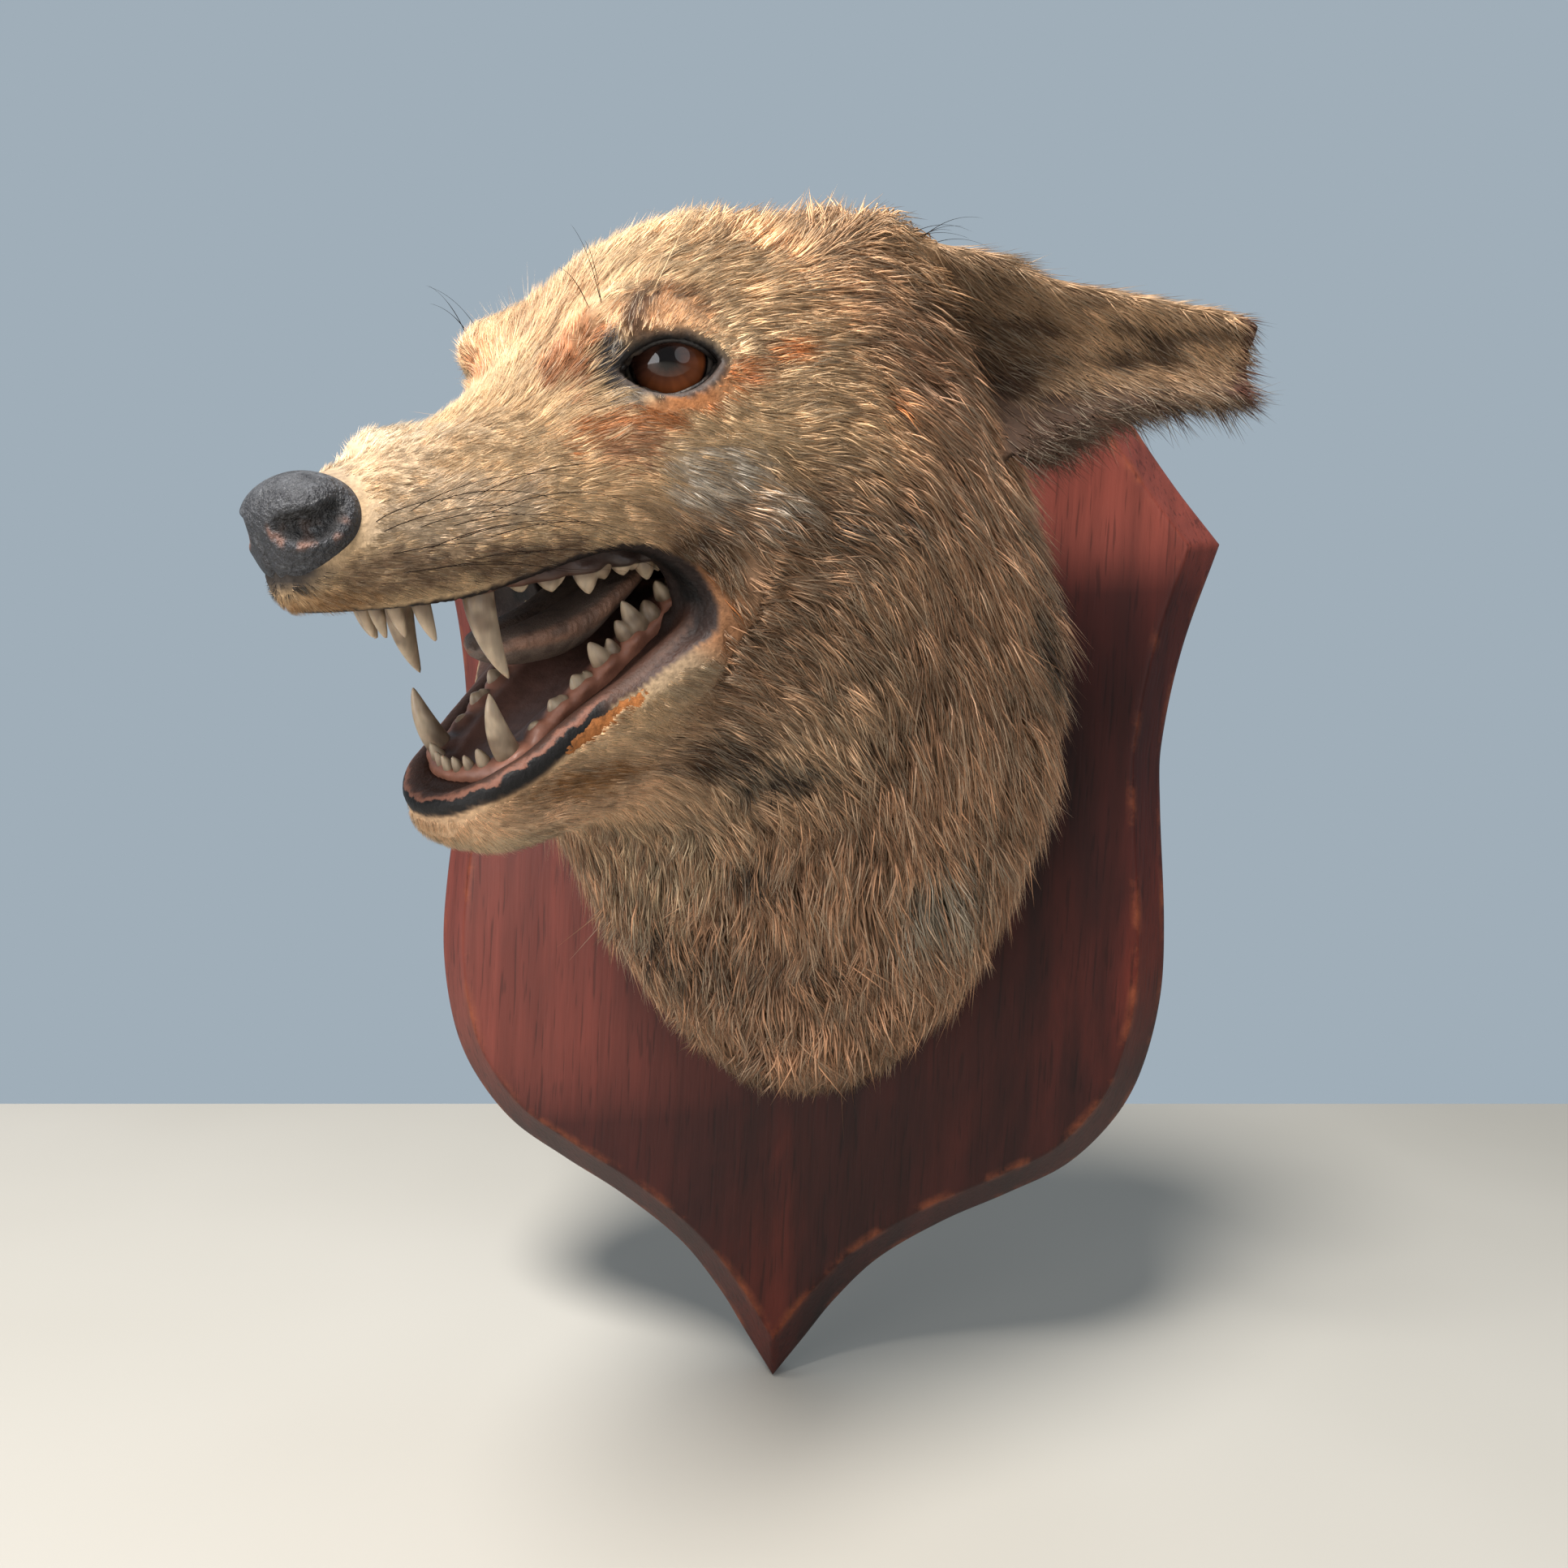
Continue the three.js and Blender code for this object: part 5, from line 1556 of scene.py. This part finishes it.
def make_eye(side, node):
    """A glass eye: a ball with a low cornea, ringed round the way that it looks."""
    gaze = GAZE * [1, side, 1]
    across = unit(np.cross(gaze, [0, 0, 1]))
    up = np.cross(across, gaze)
    polar = np.linspace(0, math.pi, EYE_RINGS + 1)[1:-1]
    around = np.linspace(0, 2 * math.pi, EYE_SPOKES, endpoint=False)
    angle = np.repeat(polar, EYE_SPOKES)
    turn = np.tile(around, len(polar))
    angle, turn = np.append(angle, [0, math.pi]), np.append(turn, [0, 0])
    radius = EYE_RADIUS + CORNEA_RISE * smoothstep(IRIS_ANGLE * 1.1, 0, angle) - GLASS_GAP
    way = (np.cos(angle)[:, None] * gaze
           + np.sin(angle)[:, None] * (np.cos(turn)[:, None] * across + np.sin(turn)[:, None] * up))
    points = EYE_PLACE * [1, side, 1] + way * radius[:, None]
    share = angle / IRIS_ANGLE
    streak = noise_at(np.column_stack([np.cos(turn) * 9, np.sin(turn) * 9, share * 1.2]), 1)
    # Painted light and shade in the iris: lit orange below, and dark above as in the lid's shadow.
    downwards = (0.85 * np.sin(turn) + 0.35 * np.cos(turn)) * np.minimum(share, 1)
    painted_light = smoothstep(0.15, -0.75, downwards) * smoothstep(0.2, 0.7, share)
    tone = mixed(srgb(52, 31, 24), srgb(132, 70, 34), 0.9 * painted_light)
    tone = tone * (1 + 0.28 * streak[:, [0]])
    pupil = smoothstep(1.7, 0.7, angle / PUPIL_ANGLE + 0.1 * streak[:, 1])
    tone = mixed(tone, srgb(14, 10, 9), pupil)
    tone = mixed(tone, srgb(10, 8, 8), smoothstep(0.88, 1.0, share))
    tone = mixed(tone, srgb(150, 142, 134), smoothstep(1.06, 1.12, share))
    faces = tube_faces(len(polar), EYE_SPOKES)[:, ::-1]
    piece = make_mesh(f"{node}_glass", from_head(points), faces, tone)
    s = Surface(f"{node}_glass")
    s.set(Base_Color=s.attribute("colour"), Roughness=0.7, Specular_IOR_Level=0.0)
    s.set(Coat_Weight=0.8, Coat_Roughness=0.05)
    dress(piece, "eye", s, node)


def tube_mesh(curve, radii, sides):
    """Vertices and triangles of a closed tube along a curve."""
    tangent = unit(np.gradient(curve, axis=0))
    side = unit(np.cross(tangent, [0.13, 0.21, 0.97]))
    up = np.cross(side, tangent)
    turn = np.arange(sides) * 2 * math.pi / sides
    ring = np.cos(turn)[None, :, None] * side[:, None] + np.sin(turn)[None, :, None] * up[:, None]
    points = (curve[:, None] + ring * np.reshape(radii, (-1, 1, 1))).reshape(-1, 3)
    return np.vstack([points, curve[:1], curve[-1:]]), tube_faces(len(curve), sides)[:, ::-1]


LID_STEPS = 90
LID_SIDES = 8


def make_lid_rims():
    """The rims of the lids: black above, crusted grey below and at the inner corner."""
    turn = np.linspace(0, 2 * math.pi, LID_STEPS)
    u = np.cos(turn) * LID_LENGTH
    bow = np.where(np.sin(turn) > 0, LID_RISE, LID_FALL)
    v = np.sign(np.sin(turn)) * bow * (1 - (u / LID_LENGTH) ** 2)
    u, v = u + LID_CENTRE, v - LID_DROP
    out = np.sqrt(np.maximum((EYE_RADIUS + 0.55) ** 2 - u * u - v * v, (LID_FLOOR + 0.6) ** 2))
    curve = EYE_PLACE + np.column_stack([u, v, out]) @ np.array([EYE_SIDE, [0, 0, 1], EYE_WAY])
    rough = noise_at(curve, 1.4)
    crust = np.maximum(0.75 * smoothstep(-0.6, -2.4, v), smoothstep(-5, -8, u))
    radii = 0.5 + 0.2 * crust * rough[:, 1] + 0.16 * (v > 0)
    points, faces = tube_mesh(curve + 0.3 * crust[:, None] * rough, radii, LID_SIDES)
    grain = noise_at(points, 0.8)[:, 0]
    crust = np.append(np.repeat(crust, LID_SIDES), crust[[0, -1]])
    tone = mixed(LID_BLACK, srgb(112, 98, 88), crust * smoothstep(-0.5, 0.5, grain))
    s = Surface("lid_rims")
    s.set(Base_Color=s.attribute("colour"), Roughness=0.45)
    s.set(Normal=s.bump(s.noise(1800, 3), 0.5, 0.0004))
    for side, name in ((1, "left"), (-1, "right")):
        place = from_head(points * [1, side, 1])
        ring = faces if side > 0 else faces[:, ::-1]
        piece = make_mesh(f"lid_rims_{name}", place, ring, tone)
        dress(piece, "lips", s)


# ---------------------------------------------------------------- gums, teeth and tongue


def teeth_of(level, rows):
    """Each tooth's cusps as [root, tip, length, breadth, hook], rooted at the gum's level."""
    return [[[[*cusp[:2], level], cusp[2:5], *cusp[5:]] for cusp in tooth] for tooth in rows]


# Teeth and their cusps on one side of the upper jaw, in the head's frame:
# [root x, y, tip x, y, z, length, breadth, hook]
UPPER_TEETH = teeth_of(UPPER_GUM_Z, [
    [[61.5, 1.9, 60.5, 1.9, -43.5, 3, 3.2, 0.2]], [[60, 5.3, 58.8, 5.4, -43.5, 3, 3.2, 0.2]],
    [[56.8, 8.8, 55.2, 9.2, -45, 3.6, 3.2, 0.3]], [[46.5, 12.4, 43.9, 13.8, -54.2, 6.6, 4.8, 1.2]],
    [[37.5, 13.6, 37.2, 13.8, -38.8, 5, 3, 0]],
    [[31, 14.8, 31, 15.2, -39.8, 6.4, 3.4, 0], [28.6, 14.8, 28.4, 15, -38.2, 3.4, 2.6, 0]],
    [[23, 16.6, 23.2, 17, -41.6, 6.4, 4, 0], [18.6, 16.8, 18.4, 17, -39.4, 5, 3.4, 0]],
    [[13.6, 17.4, 13.6, 17.6, -39.4, 5, 4.6, 0], [10.8, 17.4, 10.6, 17.6, -38.8, 4.4, 4.4, 0]],
    [[7.6, 18, 7.4, 18.2, -41.3, 5.4, 5, 0], [4, 18, 3.8, 18.2, -40, 5, 4.8, 0]],
])
# The same for the lower jaw, in its own frame
LOWER_TEETH = teeth_of(0, [
    [[1.9, 1.6, 1.6, 1.6, 4, 2.6, 2.6, 0]], [[1.2, 4.3, 0.9, 4.4, 4, 2.6, 2.6, 0]],
    [[-0.4, 7, -0.7, 7.3, 4.6, 3.2, 3, 0]], [[-4, 10.6, -7.2, 11.9, 13.4, 5.6, 4.6, 0.9]],
    [[-11.5, 11.4, -11, 11.4, 1.8, 4, 2.6, 0]],
    [[-18, 12.2, -17.5, 12.2, 2.8, 4.6, 2.8, 0], [-20.2, 12.3, -20.2, 12.3, 1.6, 2.6, 2.4, 0]],
    [[-25, 13, -24.6, 13, 3.2, 4.8, 3, 0], [-27.6, 13.1, -27.6, 13.1, 1.8, 2.8, 2.6, 0]],
    [[-32.4, 13.8, -31.6, 14, 6.2, 5, 3.8, 0], [-36, 14, -36.2, 14.1, 3.6, 3.4, 3.2, 0]],
    [
        [-40.6, 14.6, -39.8, 14.8, 5.4, 4.4, 4.2, 0], [-44, 14.8, -43.6, 15, 7.6, 5, 4.6, 0],
        [-48.4, 15.2, -48.6, 15.4, 4, 5, 4.6, 0],
    ],
    [[-54.2, 15.6, -53.6, 15.8, 5.4, 4.2, 4.8, 0], [-57.6, 15.7, -57.6, 15.9, 4.2, 4, 4.6, 0]],
])
TOOTH_ROOT = 2.4
TOOTH_STEP = 0.42
IVORY = srgb(172, 152, 128)
TOOTH_STAIN = srgb(88, 64, 46)


def cusp_field(q, root, tip, length, breadth, hook):
    """One cone of a tooth, oval across, which bows forwards by its hook."""
    root, tip = np.array(root, float), np.array(tip, float)
    height = np.linalg.norm(tip - root)
    axis = (tip - root) / height
    t = (q - root) @ axis / height
    inside = np.clip(t, 0, 1)
    r = q - root - axis * (height * t)[:, None]
    share = (1 - inside ** 1.7) ** 0.72
    bow = 4 * hook * inside * (1 - inside)
    ring = np.hypot((r[:, 0] - bow) * 2 / length, r[:, 1] * 2 / breadth)
    d = (ring - share) * min(length, breadth) / 2 * 0.9
    return np.maximum(d, np.maximum(t - 1, -t - TOOTH_ROOT / height) * height)


def make_teeth(name, teeth, to_world, surface, node=None):
    parts, rings, heights, count = [], [], [], 0
    for cusps in teeth:
        ends = np.array([point for cusp in cusps for point in cusp[:2]])
        wide = max(cusp[2] for cusp in cusps) / 2 + 1.6
        low, high = ends.min(0) - wide, ends.max(0) + wide

        def field(q, cusps=cusps):
            d = cusp_field(q, *cusps[0])
            for cusp in cusps[1:]:
                d = blend(d, cusp_field(q, *cusp), 1.2)
            return d

        grid = [marks((a, b, TOOTH_STEP)) for a, b in zip(low, high)]
        vertices, quads = surface_of(field, *grid)
        longest = max(np.linalg.norm(np.subtract(cusp[1], cusp[0])) for cusp in cusps)
        height = np.abs(vertices[:, 2] - cusps[0][0][2]) / longest
        for side in (1, -1):
            parts.append(vertices * [1, side, 1])
            rings.append((quads if side > 0 else quads[:, ::-1]) + count)
            heights.append(height)
            count += len(vertices)
    vertices = np.concatenate(parts)
    height = np.concatenate(heights)
    stain = smoothstep(0.75, 0.0, height + 0.35 * noise_at(vertices, 1.8)[:, 0])
    tone = mixed(IVORY, TOOTH_STAIN, 0.75 * stain)
    streak = noise_at(vertices * [1, 1, 0.12], 0.7)[:, [0]]
    piece = make_mesh(name, to_world(vertices), np.concatenate(rings), tone * (1 + 0.2 * streak))
    dress(piece, "teeth", surface, *([node] if node else []))


def tooth_surface():
    crack = (700, 4, 0.6, (1, 1, 0.15))
    s = grained("teeth", crack, 0.35, (0.35, 0.5), (0.6, 1.0), 0.38, 0.25, 0.0004)
    return s.set(Subsurface_Weight=0.1, Subsurface_Scale=0.002)


CLEARANCE = 0.3
PALATE_ARCH = [[20, 0, UPPER_GUM_Z], [40, 9.5, 3.6]]
JAW_TROUGH = [[-50, 0, 0], [52, 9.5, 4]]


def gum_field(rows, teeth, low, high, hollow):
    def field(q):
        plan = arch_field(rows, q[:, 0], q[:, 1]) + CLEARANCE
        slab = np.abs(q[:, 2] - (low + high) / 2) - (high - low) / 2
        d = common(plan, slab, 1.4)
        both = mirrored(q)
        for cusps in teeth:
            root, _, length, breadth, _ = cusps[0]
            d = blend(d, ellipsoid(both, root, [length * 0.62, breadth * 0.75, 1.3]), 1.6)
        return common(d, -ellipsoid(q, *hollow), 1.2)
    return field


GUM_STEP = 0.85


def make_gum(name, field, spans, tone, to_world, surface, node):
    """The gum of one jaw; tone gives two colours and the share of the second at each vertex."""
    vertices, quads = surface_of(field, *(marks((*span, GUM_STEP)) for span in spans))
    colours = mixed(*tone(vertices)) * (1 + 0.2 * noise_at(vertices, 3)[:, [0]])
    dress(make_mesh(name, to_world(vertices), quads, colours), "gums", surface, node)


def upper_gum_tone(p):
    return srgb(96, 66, 54), srgb(52, 40, 36), smoothstep(50, 10, p[:, 0])


def lower_gum_tone(p):
    edge = arch_field(LOWER_ARCH, p[:, 0], p[:, 1])
    return srgb(84, 58, 50), srgb(150, 100, 80), smoothstep(-6, -1, edge)


def make_gums():
    surface = grained("gums", (420, 4, 0.55), 0.6, (0.3, 0.55), (0.7, 1.05), 0.45, 0.4, 0.0006)
    field = gum_field(UPPER_ARCH, UPPER_TEETH, UPPER_GUM_Z, PALATE_Z - CLEARANCE, PALATE_ARCH)
    spans = [(-21, 65), (-23, 23), (-39, -31)]
    make_gum("upper_gums", field, spans, upper_gum_tone, from_head, surface, "upper_teeth")
    field = gum_field(LOWER_ARCH, LOWER_TEETH, LOWER_HOLLOW + CLEARANCE, 0, JAW_TROUGH)
    spans = [(-69.5, 6), (-21, 21), (-8, 3)]
    make_gum("lower_gums", field, spans, lower_gum_tone, from_jaw, surface, "lower_teeth")


# Tongue, in the head's frame: [x, half width, top, widest height, bottom]
TONGUE_ROWS = Rows([
    [-8, 9, -37.8, -39.6, -41.6], [0, 11.5, -38.8, -42.2, -45.4], [8, 12.5, -41, -45.4, -49.8],
    [18, 12.5, -44, -49.4, -54.5], [28, 11.5, -46, -50.5, -55], [36, 8.5, -47, -50.2, -53.5],
    [40, 3, -49, -50.2, -51.5],
])
TONGUE_CURL = 0.016
TONGUE_RINGS = 110
TONGUE_SIDES = 96


def make_tongue():
    x = np.linspace(TONGUE_ROWS.first, TONGUE_ROWS.last, TONGUE_RINGS)
    wide, top, widest, bottom = TONGUE_ROWS(x)
    turn = np.arange(TONGUE_SIDES) * 2 * math.pi / TONGUE_SIDES
    c, s = np.cos(turn)[None], np.sin(turn)[None]
    frill = 0.16 * np.sin(x * 3.1 + 1.8 * np.sin(x * 1.3))[:, None] * smoothstep(0.9, 1, np.abs(c))
    y = c * (wide[:, None] - 0.3 + frill)
    z = widest[:, None] + s * np.where(s > 0, (top - widest)[:, None], (widest - bottom)[:, None])
    groove = 0.9 * np.exp(-(y / 1.4) ** 2) * (s > 0) * smoothstep(0, 12, x)[:, None]
    z = z + TONGUE_CURL * y * y - groove
    points = np.stack([np.repeat(x[:, None], TONGUE_SIDES, 1), y, z], axis=2).reshape(-1, 3)
    points = np.vstack([points, points[:TONGUE_SIDES].mean(0), points[-TONGUE_SIDES:].mean(0)])
    rim = np.append(np.tile(np.abs(np.cos(turn)), TONGUE_RINGS), [0, 0])
    spots = noise_at(points, 2.2)
    tone = mixed(srgb(106, 90, 80), srgb(132, 98, 80), smoothstep(0.86, 0.98, rim))
    tone = mixed(tone, srgb(64, 52, 46), smoothstep(0.0, 0.7, spots[:, 0]) * 0.6)
    faces = tube_faces(TONGUE_RINGS, TONGUE_SIDES)
    piece = make_mesh("tongue_flesh", from_head(points), faces, tone)
    surface = grained("tongue", (1300, 3, 0.6), 0.5, (0.3, 0.5), (0.7, 1.1), 0.6, 0.6, 0.0006)
    dress(piece, "tongue", surface, "tongue")


# ---------------------------------------------------------------- whiskers

WHISKER_STEPS = 14
WHISKER_COLOUR = srgb(34, 27, 23)
WHISKER_ROWS = (-20.5, -24, -27.5, -31)  # heights of the four rows on each side of the muzzle


def on_hide(points):
    """The nearest places on the hide."""
    for _ in range(3):
        height, up = hide_height(points)
        points = points - up * height[:, None]
    return points, up


def make_whiskers():
    rng = np.random.default_rng(WHISKER_SEED)
    bristles = []
    for side in (1, -1):
        for row, z in enumerate(WHISKER_ROWS):
            for x in np.arange(67 - row, 42, -6.5):
                start = [x + rng.normal(0, 0.6), side * 15, z + rng.normal(0, 0.5)]
                way = [-1, side * rng.normal(0.16, 0.08), rng.normal(0.26, 0.1)]
                bristles.append([start, way, rng.uniform(26, 52), rng.uniform(0.8, 4), 0.17])
        for _ in range(3):
            start = [rng.normal(13, 2), side * rng.normal(20, 1.5), 13]
            way = [rng.normal(0.3, 0.2), side * rng.normal(0.2, 0.2), 1]
            bristles.append([start, way, rng.uniform(9, 17), 9, 0.2])
        for _ in range(6):
            start = [rng.normal(-80, 7), side * rng.normal(42, 4), 28]
            way = [-1, side * rng.normal(0.5, 0.3), rng.normal(0.7, 0.25)]
            bristles.append([start, way, rng.uniform(12, 24), 10, 0.2])
    starts, ways, lengths, lifts, thick = (np.array(column) for column in zip(*bristles))
    roots, up = on_hide(from_head(starts))
    ways = unit(head_way(ways))
    place, path = roots.copy(), [roots - up * 0.6]
    ups = [up]
    for i in range(1, WHISKER_STEPS):
        s = i / (WHISKER_STEPS - 1)
        sag = np.array([0, 0, -0.75]) * s
        place = place + unit(ways + sag) * (lengths / (WHISKER_STEPS - 1))[:, None]
        height, up = hide_height(place)
        want = np.where(lifts > 6, np.maximum(height, 1), lifts * math.sin(math.pi * s * 0.9) + 1.2)
        place = place + up * (want - height)[:, None] * 0.8
        place[:, 1] = np.minimum(place[:, 1], WALL_Y)
        path.append(place)
        ups.append(up)
    path, ups = np.stack(path, 1), np.stack(ups, 1)
    widths = thick[:, None] * np.linspace(1, 0.25, WHISKER_STEPS)[None]
    colours = np.tile(WHISKER_COLOUR, (len(roots), WHISKER_STEPS, 1))
    s = Surface("whiskers")
    s.set(Base_Color=s.attribute("colour"), Roughness=0.5, Specular_IOR_Level=0.0)
    hair_piece("whiskers", (path, ups, widths, colours, unwrapped(roots)), s)


# ---------------------------------------------------------------- shield

# Right half of the outline, from the tip up to the corner: [height above the tip, distance out]
SHIELD_SIDE = [
    [9.6, 13.9], [18.6, 27], [32, 42], [52, 56], [71.6, 66.6], [89.5, 77.5], [103, 93],
    [110.2, 108.6], [114.5, 132], [114.2, 155], [110.5, 192], [109.6, 210], [113.8, 240],
    [122.8, 272.2],
]
SHIELD_SHOULDER = [[122.8, 272.2], [108.4, 289], [94.3, 307.7], [69, SHIELD_HEIGHT]]
CORNER = np.array(SHIELD_SHOULDER[0])
TOP_CORNER = np.array(SHIELD_SHOULDER[-1])
SIDE_POINTS = 150
SHOULDER_POINTS = 45


def offset_curve(points, distance):
    """A smooth curve through the points, moved to its left."""
    curve = through([[x, z, 0] for x, z in points], 500)[:, :2]
    way = unit(np.gradient(curve, axis=0))
    return curve + distance * np.column_stack([-way[:, 1], way[:, 0]]), way


def trimmed(curve, gate, way, keep_first):
    """The curve up to, or from, the line through the gate along a way."""
    side = (curve - gate) @ np.array([-way[1], way[0]])
    side = side * (1 if side[-1 if keep_first else 0] > 0 else -1)
    if keep_first:
        i = max(int(np.argmax(side > 0)), 1)
    else:
        i = min(len(side) - int(np.argmax(side[::-1] > 0)), len(side) - 1)
    a, b = side[i - 1], side[i]
    cut = curve[i - 1] + (curve[i] - curve[i - 1]) * np.clip(a / (a - b), 0, 1)
    return np.vstack([curve[:i], cut]) if keep_first else np.vstack([cut, curve[i:]])


def respaced(curve, count):
    return through(np.column_stack([curve, np.zeros(len(curve))]), count)[:, :2]


def shield_ring(inset):
    """The shield's outline moved inwards: from the tip up the right side, and down the left."""
    side, side_way = offset_curve([[0, 0], *SHIELD_SIDE], inset)
    shoulder, shoulder_way = offset_curve(SHIELD_SHOULDER, inset)
    along = side_way[-1] + shoulder_way[0]
    inwards = unit(np.array([-along[1], along[0]]))
    top_inwards = unit(np.array([-shoulder_way[-1][1], shoulder_way[-1][0] - 1]))
    if inset:
        side = trimmed(side, np.zeros(2), np.array([0.0, 1.0]), False)
        side = trimmed(side, CORNER, inwards, True)
        shoulder = trimmed(trimmed(shoulder, CORNER, inwards, False), TOP_CORNER, top_inwards, True)
    right = np.vstack([respaced(side, SIDE_POINTS), respaced(shoulder, SHOULDER_POINTS)[1:]])
    right[0, 0] = 0
    return np.vstack([right, right[1:][::-1] * [-1, 1]])


BEVEL_FOOT = SHIELD_BEVEL - SHIELD_THICKNESS  # where the board's side meets its bevel
# Rings from the back edge round to the front face: [inset, y, wear]
SHIELD_RINGS = [
    [0.5, 0, 0], [0, -0.5, 0], [0, -4, 0],
    [0, BEVEL_FOOT + 2.2, 0],
    [0, BEVEL_FOOT + 0.7, 0.7],
    [0.25, BEVEL_FOOT - 0.25, 1],
    [0.9, BEVEL_FOOT - 0.9, 0.7],
    [2.4, BEVEL_FOOT - 2.4, 0],
    [5.5, -13.8, 0],
    [SHIELD_BEVEL - 2.4, 2.4 - SHIELD_THICKNESS, 0],
    [SHIELD_BEVEL - 0.9, 0.8 - SHIELD_THICKNESS, 0.6],
    [SHIELD_BEVEL - 0.2, 0.18 - SHIELD_THICKNESS, 0.85],
    [SHIELD_BEVEL + 0.7, -SHIELD_THICKNESS, 0.6],
    [SHIELD_BEVEL + 2.4, -SHIELD_THICKNESS, 0],
]


def make_shield():
    half = SIDE_POINTS + SHOULDER_POINTS - 1
    count = 2 * half - 1
    points, wear = [], []
    for inset, y, worn in SHIELD_RINGS:
        ring = shield_ring(inset)
        points.append(np.column_stack([ring[:, 0], np.full(count, y), ring[:, 1] + SHIELD_TIP_Z]))
        wear.append(np.full(count, worn))
    a = np.arange(half - 1)
    b = a + 1
    c, d = (count - b) % count, (count - a) % count
    cap = np.concatenate([np.column_stack([a, b, c]), np.column_stack([a, c, d])[1:]])
    front = cap + (len(points) - 1) * count
    faces = np.concatenate([ring_faces(len(points), count), cap[:, ::-1], front])
    points = np.vstack(points)
    x, z = points[:, 0], points[:, 2]
    # Painted sheen: the board is painted paler on its left side and at its top, where the light
    # falls on it, which leaves the middle below the head darker as in its shadow.
    left = smoothstep(-30, -90, x) * smoothstep(-130, -60, z)
    painted_sheen = np.maximum(left, smoothstep(60, 110, z))
    values = {"wear": np.concatenate(wear), "painted_sheen": painted_sheen}
    piece = make_mesh("shield_board", points, faces, values=values)
    dress(piece, "shield", wood_surface(), "shield")


def wood_surface():
    s = Surface("mahogany")
    figure = s.noise(13, 5, 0.6, stretch=(1, 0.6, 0.45), distortion=1.2)
    grain = s.noise(150, 5, 0.6, stretch=(1, 0.5, 0.06), distortion=0.3)
    pores = s.noise(900, 2, 0.5, stretch=(1, 1, 0.06))
    cloud = s.noise(9, 3, 0.5)
    colour = s.ramp(
        figure,
        (0.28, srgb(22, 7, 7)),
        (0.45, srgb(40, 13, 11)),
        (0.6, srgb(60, 21, 16)),
        (0.75, srgb(84, 31, 21)),
    )
    # Painted sheen: the wood turns paler towards the board's left side and top.
    pale = s.ramp(s.attribute("painted_sheen", "Fac"), (0.45, 0.0), (1.0, 0.62))
    colour = s.mix(pale, colour, s.mix(0.3, srgb(140, 70, 58), colour))
    colour = s.speckled(0.6, grain, (0.35, 0.5), (0.62, 1.15), colour)
    colour = s.speckled(0.6, pores, (0.34, 0.35), (0.42, 1.0), colour)
    colour = s.speckled(0.5, cloud, (0.3, 0.7), (0.7, 1.15), colour)
    rubbed = s.ramp(s.noise(60, 6, 0.7), (0.48, 0.0), (0.72, 0.8))
    worn = s.math("MULTIPLY", s.attribute("wear", "Fac"), rubbed)
    colour = s.mix(worn, colour, srgb(142, 76, 46))
    s.set(Base_Color=colour, Specular_IOR_Level=0.18)
    s.set(Roughness=s.ramp(cloud, (0.3, 0.4), (0.7, 0.52)))
    s.set(Normal=s.bump(pores, 0.25, 0.0004, s.bump(grain, 0.12, 0.0006)))
    s.set(Coat_Weight=0.1, Coat_Roughness=0.3)
    return s


# ---------------------------------------------------------------- assembly

make_shield()
make_nose()
make_eye(1, "eye_left")
make_eye(-1, "eye_right")
make_lid_rims()
ivory = tooth_surface()
make_teeth("upper_tooth_row", UPPER_TEETH, from_head, ivory)
make_teeth("lower_tooth_row", LOWER_TEETH, from_jaw, ivory)
make_gums()
make_tongue()
make_whiskers()
skin_vertices, skin_quads, bare_places, ear_places = make_skin()
hair_surface = make_coat(skin_vertices, skin_quads, bare_places, ear_places)
make_ear_coats(skin_vertices, skin_quads, ear_places, hair_surface)
